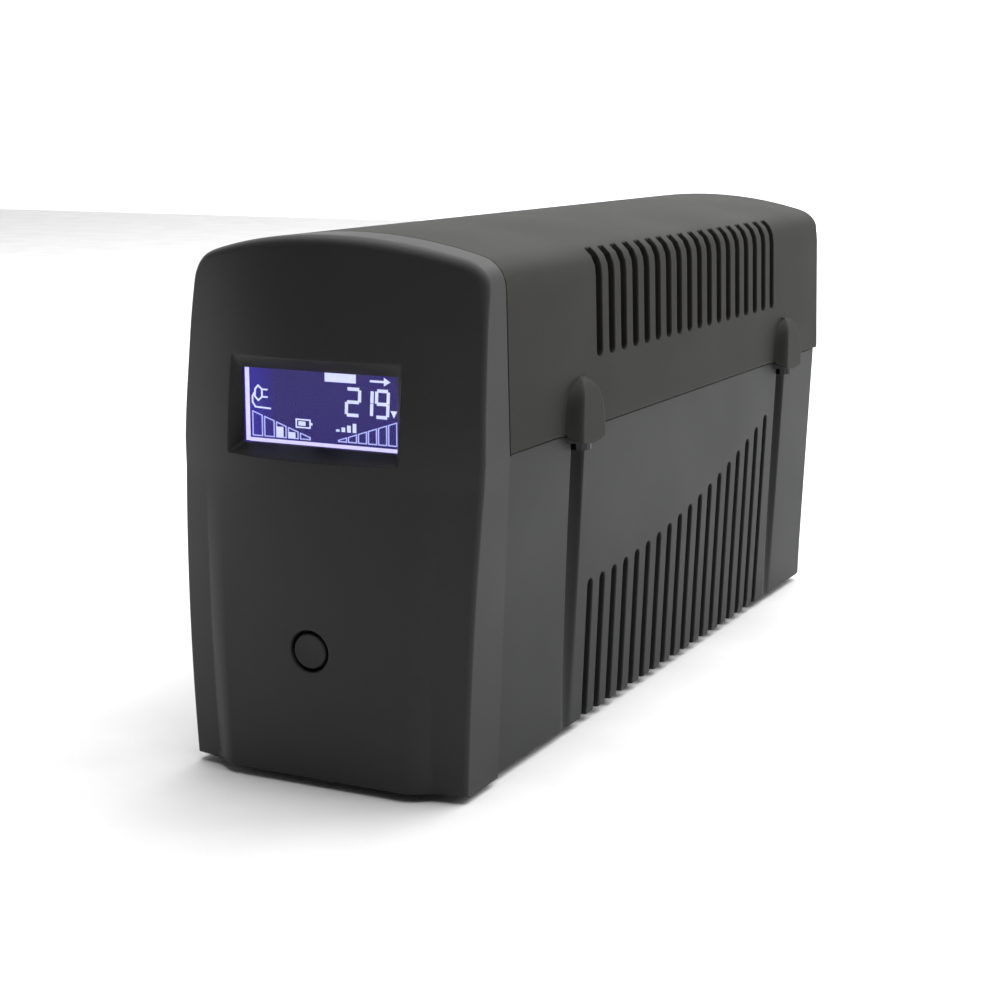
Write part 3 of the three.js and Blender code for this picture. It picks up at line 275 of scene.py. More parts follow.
def shade(colour, factor):
    return tuple(min(1.0, c * factor) for c in colour)


def surface(name, colour, roughness, metallic=0.0):
    """A material with a plain shader, and its tree, shader and coordinates in metres."""
    material = bpy.data.materials.new(name)
    material.use_nodes = True
    tree = material.node_tree
    shader = tree.nodes["Principled BSDF"]
    set_inputs(shader, {"Base Color": (*colour, 1), "Roughness": roughness, "Metallic": metallic,
                        "Specular IOR Level": SHEEN})
    return material, tree, shader, node_of(tree, "ShaderNodeTexCoord").outputs["Object"]


def plastic(name, colour, roughness, grain=1.0, tint=(1.0, 1.0, 1.0)):
    """Moulded plastic: fine spark texture, cloudy tone, and convex edges painted a little lighter as a painted
    highlight.
    """
    material, tree, shader, where = surface(name, colour, roughness)
    set_inputs(shader, {"Specular Tint": (*tint, 1)})
    clouds = noise(tree, where, 22, 3)
    speckle = noise(tree, where, 2600, 2, 0.6)
    cloudy = mixed(tree, ramp(tree, clouds, 0.3, 0.7), shade(colour, 0.93), shade(colour, 1.07))
    speckled = mixed(tree, ramp(tree, speckle, 0.35, 0.65), shade(colour, 0.9), shade(colour, 1.1))
    edges = node_of(tree, "ShaderNodeNewGeometry").outputs["Pointiness"]
    # convex edges are painted lighter here, as a painted highlight
    edge_highlight = ramp(tree, edges, 0.51, 0.58, (0.0, EDGE_HIGHLIGHT_PAINT))
    tone = mixed(tree, edge_highlight, mixed(tree, 0.4, cloudy, speckled), shade(colour, 1.35))
    tree.links.new(tone, shader.inputs["Base Color"])
    rough = ramp(tree, clouds, 0.2, 0.8, (roughness - 0.05, roughness + 0.05))
    tree.links.new(rough, shader.inputs["Roughness"])
    if grain:
        relief(tree, shader, noise(tree, where, 1900, 3, 0.6), 0.35 * grain, GRAIN_DEPTH)
    return material


def metal(name, colour, roughness, brushed=(1, 1, 1)):
    """Metal with fine scratches, stretched along the axes where brushed is small."""
    material, tree, shader, where = surface(name, colour, roughness, 1.0)
    stretch = node_of(tree, "ShaderNodeMapping")
    set_inputs(stretch, {"Scale": brushed})
    tree.links.new(where, stretch.inputs["Vector"])
    scratches = noise(tree, stretch.outputs["Vector"], 1500, 4, 0.7)
    clouds = ramp(tree, noise(tree, where, 60, 3), 0.3, 0.7)
    tree.links.new(mixed(tree, clouds, shade(colour, 0.8), shade(colour, 1.08)), shader.inputs["Base Color"])
    rough = ramp(tree, scratches, 0.2, 0.8, (roughness - 0.1, roughness + 0.1))
    tree.links.new(rough, shader.inputs["Roughness"])
    relief(tree, shader, scratches, 0.2, SCRATCH_DEPTH)
    return material


def circuit_board():
    """Green solder mask over faint copper tracks, with rows of small tinned pads."""
    green = (0.012, 0.075, 0.03)
    material, tree, shader, where = surface("circuit_board", green, 0.35)
    tracks = node_of(tree, "ShaderNodeTexBrick")
    set_inputs(tracks, {"Scale": 120, "Mortar Size": 0.03, "Color1": (*green, 1),
                        "Color2": (*shade(green, 1.5), 1), "Mortar": (*shade(green, 2.4), 1)})
    pads = node_of(tree, "ShaderNodeTexVoronoi")
    set_inputs(pads, {"Scale": 260})
    for texture in (tracks, pads):
        tree.links.new(where, texture.inputs["Vector"])
    padded = ramp(tree, pads.outputs["Distance"], 0.22, 0.16)
    tone = mixed(tree, padded, tracks.outputs["Color"], (0.55, 0.56, 0.58))
    tree.links.new(tone, shader.inputs["Base Color"])
    return material


def clear_acrylic():
    material, tree, shader, where = surface("window_acrylic", (1, 1, 1), 0.03)
    set_inputs(shader, {"Transmission Weight": 1.0, "IOR": 1.2, "Specular IOR Level": 0.1})
    smears = ramp(tree, noise(tree, where, 70, 3), 0.4, 0.8, (0.01, 0.06))
    tree.links.new(smears, shader.inputs["Roughness"])
    return material


def lit_glass():
    """The display's violet-blue field: glowing, brighter towards the lamp at its left edge."""
    material, tree, shader, where = surface("lcd_field", (0.008, 0.006, 0.03), 0.25)
    set_inputs(shader, {"Specular IOR Level": 0.05, "Emission Strength": 1.0})
    place = node_of(tree, "ShaderNodeSeparateXYZ")
    tree.links.new(where, place.inputs[0])
    left = ramp(tree, place.outputs["X"], -0.014, -0.0215)
    upper = ramp(tree, place.outputs["Z"], *(corner.z * MM + DATUM.z for corner in WINDOW))
    field = mixed(tree, upper, (0.017, 0.010, 0.140), (0.023, 0.016, 0.130))
    glow = mixed(tree, left, field, (0.030, 0.018, 0.36))
    mottle = ramp(tree, noise(tree, where, 500, 3), 0.2, 1.6)
    tree.links.new(mixed(tree, mottle, glow, (0.03, 0.024, 0.17)), shader.inputs["Emission Color"])
    return material


def lit_segment(name, colour, strength):
    material, tree, shader, where = surface(name, shade(colour, 0.5), 0.4)
    flicker = ramp(tree, noise(tree, where, 900, 2), 0.3, 0.7)
    tree.links.new(mixed(tree, flicker, shade(colour, 0.9), colour), shader.inputs["Emission Color"])
    set_inputs(shader, {"Emission Strength": strength})
    return material


# ---- Placing meshes ----
def place(points):
    """Points in millimetres from the datum, as rows of an array, to the frame's metres."""
    return np.asarray(points, float) * MM + np.array(DATUM)


def piece(name, points, faces, material, body="housing", normals=None):
    """A mesh object from points in millimetres, and a normal for each corner of each face if given."""
    mesh = bpy.data.meshes.new(name)
    mesh.from_pydata(place(points).tolist(), [], faces)
    mesh.polygons.foreach_set("use_smooth", [True] * len(faces))
    if normals is not None:
        mesh.normals_split_custom_set(normals)
    mesh.materials.append(material)
    made = bpy.data.objects.new(name, mesh)
    bpy.context.scene.collection.objects.link(made)
    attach(made, body)
    return made


# ---- Skins: thin shells drawn on a flat domain and wrapped on to a surface ----
def unit(vectors):
    length = np.linalg.norm(vectors, axis=1, keepdims=True)
    return vectors / np.maximum(length, 1e-12)


def loop_normals(loop):
    """For each point of a closed loop with its material on the left, the way out of the material."""
    before, after = np.roll(loop, 1, 0), np.roll(loop, -1, 0)

    def out(a, b):
        along = unit(b - a)
        return np.stack([along[:, 1], -along[:, 0]], 1)

    first, second = out(before, loop), out(loop, after)
    total = first + second
    return total / np.maximum((1 + (first * second).sum(1))[:, None], MITRE)


def spaced(points, step):
    """A closed loop with points added, so that none of its sides is longer than step(u, v) there."""
    out = []
    for (u0, v0), (u1, v1) in zip(points, [*points[1:], points[0]]):
        count = max(1, math.ceil(math.hypot(u1 - u0, v1 - v0) / step((u0 + u1) / 2, (v0 + v1) / 2)))
        out += [(u0 + (u1 - u0) * i / count, v0 + (v1 - v0) * i / count) for i in range(count)]
    return out


def signed_area(loop):
    u, v = loop[:, 0], loop[:, 1]
    return 0.5 * np.sum(u * np.roll(v, -1) - v * np.roll(u, -1))


def is_inside(points, loops):
    """Whether each point lies inside an odd number of the loops."""
    odd = np.zeros(len(points), bool)
    for loop in loops:
        for (u0, v0), (u1, v1) in zip(loop, np.roll(loop, -1, 0)):
            if v0 != v1:
                spans = (points[:, 1] > v0) != (points[:, 1] > v1)
                odd ^= spans & (points[:, 0] < (u1 - u0) * (points[:, 1] - v0) / (v1 - v0) + u0)
    return odd


def ring(start, count):
    """The edges of a closed loop of points that are numbered from start."""
    return [(start + i, start + (i + 1) % count) for i in range(count)]


def open_edges(triangles):
    """The edges that only one triangle has, each in that triangle's direction."""
    directed = dict.fromkeys((f[i], f[(i + 1) % 3]) for f in triangles for i in range(3))
    return [(a, b) for a, b in directed if (b, a) not in directed]


def is_clear(point, border, edge):
    """Whether a grid point stands clear of the rounded edge nearest to it."""
    distance = np.hypot(*(border - point).T)
    nearest = np.argmin(distance)
    return distance[nearest] > EDGE_CLEARANCE * edge(*border[nearest]) + EDGE_GAP


def skin(name, outline, holes, grid, wrap, edge, thickness, material, drop_axis=None, inner=None, rim=None):
    """A shell piece. outline and holes are loops in a flat domain, and wrap takes domain points to the outer
    surface. edge(point) is how far an edge is rounded there, thickness(points) how thick the shell is. grid
    points keep curved stretches fine. inner may move the inner skin, and rim may add steps between an edge of
    the outer skin and the same edge of the inner one."""
    loops = []
    for number, loop in enumerate([outline, *holes]):
        loop = np.array(loop, float)
        wanted = 1 if number == 0 else -1
        loops.append(loop if signed_area(loop) * wanted > 0 else loop[::-1])
    domain, angle, way, radius, edges = [], [], [], [], []
    for loop in loops:
        outward = loop_normals(loop)
        rounding = np.array([edge(u, v) for u, v in loop])
        for a in ARC:
            start = len(domain)
            domain += list(loop - outward * (rounding * (1 - math.cos(a)))[:, None])
            angle += [a] * len(loop)
            way += list(outward)
            radius += list(rounding)
            edges += ring(start, len(loop))
    border = np.concatenate(loops)
    grid = np.array(grid, float)
    grid = grid[is_inside(grid, loops)]
    grid = grid[np.array([is_clear(g, border, edge) for g in grid])]
    domain += list(grid)
    angle += [math.pi / 2] * len(grid)
    way += [(0.0, 0.0)] * len(grid)
    radius += [0.0] * len(grid)
    points, _, faces, origins, _, _ = geometry.delaunay_2d_cdt(
        [Vector(p) for p in domain], edges, [], 0, 1e-6)
    table = np.array(domain)
    source = [o[0] if o else int(np.argmin(np.hypot(*(table - p[:]).T))) for o, p in zip(origins, points)]
    flat = np.array([p[:] for p in points])
    faces = np.array(faces)
    faces = faces[is_inside(flat[faces].mean(1), loops)]
    angle = np.array([angle[i] for i in source])
    way = np.array([way[i] for i in source])
    radius = np.array([radius[i] for i in source])

    step = 1e-3
    at = wrap(flat)
    along_u = (wrap(flat + [step, 0]) - wrap(flat - [step, 0])) / (2 * step)
    along_v = (wrap(flat + [0, step]) - wrap(flat - [0, step])) / (2 * step)
    up = unit(np.cross(along_u, along_v))
    out = unit(along_u * way[:, :1] + along_v * way[:, 1:])
    if drop_axis is not None:
        out = unit(np.stack([way[:, 0], 0 * way[:, 0], way[:, 1]], 1))
    down = -up if drop_axis is None else np.broadcast_to(drop_axis, up.shape)
    outer = at + down * (radius * (1 - np.sin(angle)))[:, None]
    outer_normals = unit(up * np.sin(angle)[:, None] + out * np.cos(angle)[:, None])
    under = at + down * thickness(flat)[:, None]
    if inner is not None:
        under = inner(flat, under)

    count = len(flat)
    rim_steps = rim(flat, outer, out, under) if rim else []
    tiers = [outer, *[p for p, _ in rim_steps], under]
    points = np.concatenate(tiers)
    bends = [out, *[n for _, n in rim_steps]]
    rim_bands = [(i, i + 1, bends[i], bends[min(i + 1, len(rim_steps))]) for i in range(len(tiers) - 1)]
    plain_band = [(0, len(tiers) - 1, out, out)]
    quads, quad_normals = [], []
    triangles = faces.tolist()
    for x, y in open_edges(triangles):
        for upper, lower, n0, n1 in rim_bands if rim_steps and rim.applies(flat[x]) else plain_band:
            quads.append((upper * count + y, upper * count + x, lower * count + x, lower * count + y))
            quad_normals += [n0[y], n0[x], n1[x], n1[y]]
    last = (len(tiers) - 1) * count
    all_faces = triangles + [(c + last, b + last, a + last) for a, b, c in triangles] + quads
    normals = [outer_normals[i] for f in triangles for i in f]
    normals += [-up[i] for f in triangles for i in f[::-1]]
    normals += quad_normals
    used = np.unique(np.concatenate([np.array(f) for f in all_faces]))
    renumber = np.full(len(points), -1)
    renumber[used] = np.arange(len(used))
    all_faces = [tuple(int(renumber[i]) for i in f) for f in all_faces]
    return piece(name, points[used], all_faces, material, normals=[Vector(n) for n in normals])


# ---- Outline of the housing, as a function of the distance along it ----
def half_width_at(z):
    return SEAM_HALF_WIDTH - np.where(z > SEAM_Z, COVER_DRAFT * (z - SEAM_Z), BASE_DRAFT * (SEAM_Z - z))


def roof_at(x):
    return CROWN_Z - ROOF_RADIUS + np.sqrt(ROOF_RADIUS**2 - x**2)


class Section:
    """Half an outline as a path of points (x, z), from the middle plane outwards, mirrored for negative v."""

    def __init__(self, points):
        points = np.array(points, float)
        steps = np.hypot(*np.diff(points, axis=0).T)
        keep = np.concatenate([[True], steps > 1e-9])
        points = points[keep]
        self.v = np.concatenate([[0], np.cumsum(np.hypot(*np.diff(points, axis=0).T))])
        self.points = points

    @property
    def length(self):
        return self.v[-1]

    def at(self, v):
        """x and z at distance v from the middle, going on straight past the end."""
        size = np.abs(v)
        x = np.interp(size, self.v, self.points[:, 0])
        z = np.interp(size, self.v, self.points[:, 1])
        beyond = np.maximum(0, size - self.length)
        end = self.points[-1] - self.points[-2]
        end = end / np.hypot(*end)
        return np.where(v < 0, -1, 1) * (x + beyond * end[0]), z + beyond * end[1]

    def v_at(self, test):
        """The first v where test(x, z) is true."""
        return self.v[np.argmax(test(self.points[:, 0], self.points[:, 1]))]


def bezier(a, b, c, count=60):
    t = np.linspace(0, 1, count)[:, None]
    return (1 - t) ** 2 * np.array(a) + 2 * t * (1 - t) * np.array(b) + t**2 * np.array(c)


def roof_and_side(low_z):
    """Half the outline from the crown to low_z on the side."""
    edge_z = float(roof_at(SEAM_HALF_WIDTH))
    top_x = float(half_width_at(edge_z))
    top_z = float(roof_at(top_x))
    roof_x = top_x - ROOF_CORNER
    wall_z = top_z - ROOF_CORNER
    roof = [(x, float(roof_at(x))) for x in np.linspace(0, roof_x, 200)]
    corner = bezier((roof_x, roof_at(roof_x)), (top_x, top_z), (half_width_at(wall_z), wall_z)).tolist()
    heights = [*np.arange(wall_z, SEAM_Z, -0.2), *np.arange(SEAM_Z, low_z, -0.2), low_z]
    side = [(float(half_width_at(z)), float(z)) for z in heights]
    return roof + corner + side


COVER = Section(roof_and_side(SEAM_Z))
COVER_CORNER_V = (COVER.v_at(lambda x, z: x > SEAM_HALF_WIDTH - 9.5) - 1,
                  COVER.v_at(lambda x, z: (z < 132) & (x > 30)))


def base_section():
    low_x = float(half_width_at(0)) - BASE_SETBACK
    lean = math.atan(BASE_DRAFT)
    start = low_x - BASE_CORNER
    floor = [(x, 0.0) for x in np.linspace(0, start, 40)]
    turns = np.linspace(0, math.pi / 2 - lean, 40)
    shift = BASE_CORNER * (1 - math.sin(math.pi / 2 - lean))
    centre_x = start + shift + BASE_DRAFT * BASE_CORNER
    corner = [(centre_x + BASE_CORNER * math.sin(t), BASE_CORNER - BASE_CORNER * math.cos(t)) for t in turns]
    heights = [*np.arange(corner[-1][1] + 0.2, BASE_TOP_Z, 0.2), BASE_TOP_Z]
    return Section(floor + corner + [(float(half_width_at(z)) - BASE_SETBACK, float(z)) for z in heights])


BASE = base_section()
BASE_CORNER_V = (BASE.v_at(lambda x, z: x > half_width_at(0) - BASE_SETBACK - BASE_CORNER - 0.5),
                 BASE.v_at(lambda x, z: z > BASE_CORNER + 1))


# ---- Wrapping a flat domain round the housing: u runs from the front to the rear opening ----
ROUND_STEPS = 4.0  # length of the domain that goes round the rear edge
WALL_STEPS = 6.0  # length of the domain that crosses the rear wall to the opening


def rear_wrap(flat, section, rear_y, rounding, opening):
    """Straight along the housing, round the rear edge, then across the rear wall to the opening."""
    u, v = flat[:, 0], flat[:, 1]
    x, z = section.at(v)
    step = 0.05
    ahead, behind = section.at(v + step), section.at(v - step)
    along = unit(np.stack([ahead[0] - behind[0], ahead[1] - behind[1]], 1))
    start = rear_y - REAR_ROUND
    turn = np.clip((u - start) / ROUND_STEPS, 0, 1) * (math.pi / 2)
    inset = rounding(np.abs(v)) * (1 - np.cos(turn))
    side = np.where(section is BASE, -1.0, 1.0)
    ring_x = x + side * along[:, 1] * inset
    ring_z = z - side * along[:, 0] * inset
    across = np.clip((u - start - ROUND_STEPS) / WALL_STEPS, 0, 1)
    open_x, open_z = opening(v)
    y = np.where(u < start, u, start + (rear_y - start) * np.sin(turn))
    return np.stack([ring_x + across * (open_x - ring_x), y, ring_z + across * (open_z - ring_z)], 1)


def cover_opening(v):
    """Where each line along the cover ends at the rear opening: on its top edge, its corner or its side."""
    size = np.abs(v)
    first, last = COVER_CORNER_V
    top_x = OPENING_HALF_WIDTH - OPENING_CORNER
    turn = np.clip((size - first) / (last - first), 0, 1) * (math.pi / 2)
    x = np.where(size < first, top_x * size / first, top_x + OPENING_CORNER * np.sin(turn))
    arc_z = OPENING_TOP_Z - OPENING_CORNER * (1 - np.cos(turn))
    side_z = (OPENING_TOP_Z - OPENING_CORNER) - (size - last) / (COVER.length - last) * (
        OPENING_TOP_Z - OPENING_CORNER - SEAM_Z)
    return np.where(v < 0, -x, x), np.where(size < last, arc_z, side_z)


def base_opening(v):
    size = np.abs(v)
    first, last = BASE_CORNER_V
    low_x = OPENING_HALF_WIDTH - OPENING_CORNER
    turn = np.clip((size - first) / (last - first), 0, 1) * (math.pi / 2)
    x = np.where(size < first, low_x * size / first, low_x + OPENING_CORNER * np.sin(turn))
    arc_z = OPENING_LOW_Z + OPENING_CORNER * (1 - np.cos(turn))
    side_z = OPENING_LOW_Z + OPENING_CORNER + (size - last) / (BASE.length - last) * (
        BASE_TOP_Z - OPENING_LOW_Z - OPENING_CORNER)
    return np.where(v < 0, -x, x), np.where(size < last, arc_z, side_z)


def smooth_step(value):
    value = np.clip(value, 0, 1)
    return value * value * (3 - 2 * value)


def pod_half(z):
    """Half the width of a pod at a height."""
    rise = np.clip((z - POD_LOW_Z) / (POD_TOP_Z - POD_LOW_Z), 0, 1)
    return POD_HALF_WIDTH * np.sqrt(np.maximum(1 - rise**POD_OUTLINE, 1e-6))


def pod_height(y, z):
    """How far the pods stand out of the cover's side, as flat humps with sloping flanks and a round top."""
    height = np.zeros_like(y)
    for centre in SCREWS_Y:
        rise = np.clip((z - POD_LOW_Z) / (POD_TOP_Z - POD_LOW_Z), 0, 1)
        share = np.clip(np.abs(y - centre) / pod_half(z), 0, 1)
        flank = np.clip((1 - share) / POD_FLANK, 0, 1)
        flank = 1 - (1 - flank) ** FLANK_FALL * (1 + FLANK_SWELL * flank)
        height = np.maximum(height, POD_PROUD * np.sqrt(np.maximum(1 - rise**POD_FALL, 0)) * flank)
    return height


def cover_wrap(flat):
    points = rear_wrap(flat, COVER, REAR_Y, lambda v: REAR_ROUND + 0 * v, cover_opening)
    side = np.abs(flat[:, 1]) > COVER_CORNER_V[1]
    below = np.where(points[:, 1] < REAR_Y - REAR_ROUND, np.maximum(0, np.abs(flat[:, 1]) - COVER.length), 0)
    points[:, 2] = np.where(below > 0, SEAM_Z - below, points[:, 2])
    points[:, 0] = np.where(below > 0, np.sign(flat[:, 1]) * SEAM_HALF_WIDTH, points[:, 0])
    proud = np.where(side, pod_height(points[:, 1], points[:, 2]), 0)
    points[:, 0] += np.sign(flat[:, 1]) * proud
    return points


def groove_depth(y, z):
    """How deep the grooves under the pods are: upright round channels in the leaning side."""
    side = half_width_at(z) - BASE_SETBACK
    depth = np.full_like(y, -3 * GROOVE_FADE)
    for centre in SCREWS_Y:
        off = np.abs(y - centre)
        inside = np.sqrt(np.maximum(GROOVE_RADIUS**2 - off**2, 0))
        depth = np.maximum(depth, side - SCREW_X + inside - 2 * np.maximum(0, off - GROOVE_RADIUS))
    softened = 0.5 * (depth + np.sqrt(depth**2 + GROOVE_SOFT**2))
    return GROOVE_DEEPENING * softened * smooth_step((depth + GROOVE_FADE) / GROOVE_FADE)


def base_wrap(flat):
    size = np.abs(flat[:, 1])
    corner = BASE_CORNER_V[1]

    def rounding(v):
        share = smooth_step((v - corner) / REAR_ROUND_BLEND)
        return REAR_ROUND_LOW + (REAR_ROUND - REAR_ROUND_LOW) * share

    points = rear_wrap(flat, BASE, BASE_REAR_Y, rounding, base_opening)
    depth = groove_depth(points[:, 1], points[:, 2]) * smooth_step((size - BASE_CORNER_V[0]) / 2)
    points[:, 0] -= np.sign(flat[:, 1]) * depth
    return points


def slot_loop(y, near_v, far_v, width):
    """A slot between two values of v, square at the near end and round at the far one."""
    half = width / 2
    arc = [math.pi * i / 10 for i in range(11)]
    end = [(y + half * math.cos(a), far_v - half + half * math.sin(a)) for a in arc]
    return [(y - half, near_v), (y + half, near_v), *end]


def slot_holes(near_v, far_vs, width, step):
    """Both sides' slots, each from near_v to its own round end."""
    slots = [spaced(slot_loop(y, near_v, far_v, width), step) for y, far_v in zip(SLOT_PLACES, far_vs)]
    return slots + [mirrored(s) for s in slots]


def rear_end(rear_y):
    """Where the domain ends, at the rear opening."""
    return rear_y - REAR_ROUND + ROUND_STEPS + WALL_STEPS


def lines_along(rear_y, gap):
    """The grid's lines along the housing: even up to the rear edge, close round it, and one on the rear wall."""
    start = rear_y - REAR_ROUND
    return [*np.arange(SHELL_FRONT_Y + 4, start, gap), start,
            *np.arange(start + 1, start + ROUND_STEPS + 0.5), rear_end(rear_y) - 3]


def mirrored(loop):
    return [(u, -v) for u, v in loop]


def fine_near(ranges, fine, coarse):
    """A spacing that is fine where |v| lies in one of the ranges, and coarse elsewhere."""
    return lambda u, v: fine if any(a <= abs(v) <= b for a, b in ranges) else coarse


def grid_points(us, vs):
    u, v = np.meshgrid(np.array(us), np.array(vs))
    return np.stack([u.ravel(), v.ravel()], 1)


def both(values):
    return sorted(set(values) | {-v for v in values})


def top_cover(material):
    full = COVER.length
    end = rear_end(REAR_Y)
    skirt = SEAM_Z - POD_LOW_Z
    reach = POD_HALF_WIDTH - SKIRT_INSET
    edge_points = [(SHELL_FRONT_Y, full)]
    for y in SCREWS_Y:
        turns = [math.pi * i / 24 for i in range(25)]
        edge_points += [(y - reach * math.cos(a), full + skirt * math.sin(a)) for a in turns]
    edge_points.append((end, full))
    outline = edge_points + mirrored(edge_points)[::-1]
    step = fine_near([COVER_CORNER_V], 0.7, 3.0)

    def outline_step(u, v):
        near_pod = min(abs(u - y) for y in SCREWS_Y) < POD_HALF_WIDTH + 2
        return 0.8 if abs(v) >= full - HAIR and near_pod else step(u, v)

    outline = spaced(outline, outline_step)
    low_v = COVER.v_at(lambda x, z: (z < COVER_SLOT_LOW_Z) & (x > 30))
    high_v = COVER.v_at(lambda x, z: x > SEAM_HALF_WIDTH - SLOT_WRAP)
    slots = slot_holes(high_v, [low_v] * len(SLOT_PLACES), COVER_SLOT_WIDTH, step)
    start = REAR_Y - REAR_ROUND
    roof_vs = [*np.arange(0, COVER_CORNER_V[0], 4)]
    corner_vs = [*np.arange(COVER_CORNER_V[0], COVER_CORNER_V[1], 0.6)]
    side_vs = [*np.arange(COVER_CORNER_V[1], full, 6), full - 1.2]
    grid = [grid_points(lines_along(REAR_Y, 4), both([*roof_vs, *corner_vs, *side_vs]))]
    shares = np.array([0.15, 0.3, 0.42, 0.48, 0.54, 0.6, 0.66, 0.72,
                       0.78, 0.84, 0.9, 0.95, 0.985, 1.0, 1.04, 1.12])
    pod_round_z = POD_TOP_Z - 2
    pod_zs = [*np.arange(POD_LOW_Z + 0.3, pod_round_z, 0.6), *np.arange(pod_round_z, POD_TOP_Z, 0.25)]
    for y in SCREWS_Y:
        for z in pod_zs:
            row = pod_half(z) * np.array([*-shares[::-1], 0, *shares])
            v = full - (z - SEAM_Z) * math.hypot(1, COVER_DRAFT)
            grid += [np.stack([y + row, np.full(len(row), side * v)], 1) for side in (-1, 1)]

    def edge(u, v):
        if u < SHELL_FRONT_Y + HAIR:
            return SEAM_EDGE
        if abs(v) >= full + HAIR:
            return SKIRT_EDGE
        if abs(v) >= full - HAIR:
            return COVER_LOW_EDGE if u < start else SEAM_EDGE
        return SEAM_EDGE if u > end - HAIR else SLOT_EDGE

    def thickness(flat):
        points = cover_wrap(flat)
        in_skirt = np.abs(flat[:, 1]) > full + HAIR
        proud = pod_height(points[:, 1], points[:, 2])
        return np.where(in_skirt, np.minimum(SKIRT_WALL, proud + SKIRT_BACK), WALL)

    made = skin("cover_shell", outline, slots, np.concatenate(grid), flipped(cover_wrap), edge, thickness,
                material)
    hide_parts("top_cover")


def flipped(wrap):
    """The same surface with its domain mirrored, so that u cross v points out of the material."""
    return lambda flat: wrap(flat * [1, -1])


def base_shell(material):
    full = BASE.length
    end = rear_end(BASE_REAR_Y)
    turn = 3.0
    arc = [math.pi / 2 * i / 6 for i in range(7)]
    front_corner = [(SHELL_FRONT_Y + turn * (1 - math.cos(a)), full - turn * (1 - math.sin(a))) for a in arc]
    half = [*front_corner, (end, full)]
    step = fine_near([BASE_CORNER_V], 0.6, 3.0)
    outline = spaced(half + mirrored(half)[::-1], step)
    near_v = BASE.v_at(lambda x, z: x > half_width_at(0) - BASE_SETBACK - BASE_SLOT_DEPTH)
    tops_z = [BASE_SLOT_TOP_Z + BASE_SLOT_RISE * i * i for i in range(len(SLOT_PLACES))]
    top_vs = [full - (BASE_TOP_Z - z) * math.hypot(1, BASE_DRAFT) for z in tops_z]
    slots = slot_holes(near_v, top_vs, BASE_SLOT_WIDTH, step)
    floor_vs = [*np.arange(0, BASE_CORNER_V[0], 8)]
    corner_vs = [*np.arange(BASE_CORNER_V[0], BASE_CORNER_V[1], 0.5)]
    side_vs = [*np.arange(BASE_CORNER_V[1], full, 5)]
    grid = [grid_points(lines_along(BASE_REAR_Y, 5), both([*floor_vs, *corner_vs, *side_vs]))]
    channel_vs = both([v for v in [*corner_vs, *side_vs, full - 0.6] if v > BASE_CORNER_V[0]])
    for y in SCREWS_Y:
        grid.append(grid_points(np.arange(y - 6, y + 6.1, 0.35), channel_vs))

    def edge(u, v):
        if u < SHELL_FRONT_Y + HAIR or abs(v) > full - turn - 0.5 and u < SHELL_FRONT_Y + turn:
            return SEAM_EDGE
        return SEAM_EDGE if u > end - HAIR or abs(v) > full - HAIR else SLOT_EDGE

    def inner(flat, under):
        """Keeps the inside of the leaning walls below the base's top edge."""
        under[:, 2] = np.minimum(under[:, 2], BASE_TOP_Z)
        return under

    made = skin("base_tray", outline, slots, np.concatenate(grid), base_wrap, edge,
                lambda flat: np.full(len(flat), WALL), material, inner=inner)
    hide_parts("base_shell")
    for number, y in enumerate(SCREWS_Y):
        for side, sign in (("left", -1), ("right", 1)):
            tab = screw_tab(f"screw_tab_{side}_{number}", y, sign, material)
            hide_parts("base_shell")


def screw_tab(name, y, sign, material):
    """One of the base's tabs that take the housing screws from below: a half-oval shelf with a hole."""
    low_z, high_z = BASE_TOP_Z - TAB_THICKNESS, BASE_TOP_Z
    wall_x = float(half_width_at(BASE_TOP_Z)) - BASE_SETBACK - WALL - 1
    reach = SEAM_HALF_WIDTH + TAB_PROUD - TAB_CLEARANCE - wall_x
    turns = [math.pi * i / 24 for i in range(25)]
    rim = [(TAB_HALF_WIDTH * math.cos(t), wall_x + reach * math.sin(t)) for t in turns]
    hole = [(SCREW_HOLE * math.cos(2 * t), SCREW_X + SCREW_HOLE * math.sin(2 * t)) for t in turns[:-1]]
    edges = ring(0, len(rim)) + ring(len(rim), len(hole))
    _, _, faces, _, _, _ = geometry.delaunay_2d_cdt([Vector(p) for p in rim + hole], edges, [], 0, 1e-6)
    spots, faces = np.array(rim + hole), np.array(faces)
    faces = faces[is_inside(spots[faces].mean(1), [np.array(rim), np.array(hole)])].tolist()
    count = len(spots)
    points = [(sign * x, y + a, z) for z in (high_z, low_z) for a, x in spots.tolist()]
    shapes = [tuple(f) for f in faces] + [(c + count, b + count, a + count) for a, b, c in faces]
    shapes += [(b, a, a + count, b + count) for a, b in open_edges(faces)]
    if sign > 0:
        shapes = [tuple(reversed(s)) for s in shapes]
    made = piece(name, points, shapes, material)
    sharpen(made)
    return made


# ---- Bezel ----
def face_y(x, z):
    """How far forward the face stands: its own curve, with the raised centre below the crest."""
    fall = np.clip((FACE_CREST_Z - z) / FACE_CREST_Z, 0, None)
    loss = FACE_BOW_LOSS * (np.maximum(0, z - FACE_BOW_Z) / (CROWN_Z - FACE_BOW_Z)) ** 2
    upper = FACE_CREST_Y + FACE_CURL * (z - FACE_CREST_Z) ** 2 + (FACE_BOW - loss) * x * x
    bow = FACE_BOW + (FACE_BOW_LOW - FACE_BOW) * fall
    curve = FACE_CREST_Y + (FACE_LOW_Y - FACE_CREST_Y) * fall**2 + bow * x * x
    raised = FACE_CREST_Y + (PLATEAU_LOW_Y - FACE_CREST_Y) * fall**2 + FACE_BOW * (1 - fall) * x * x
    share = np.clip((plateau_edge(z) - np.abs(x)) / PLATEAU_SLOPE, 0, 1)
    share = 1 - (1 - share) ** PLATEAU_SOFT
    return np.where(z >= FACE_CREST_Z, upper, curve + share * (raised - curve))


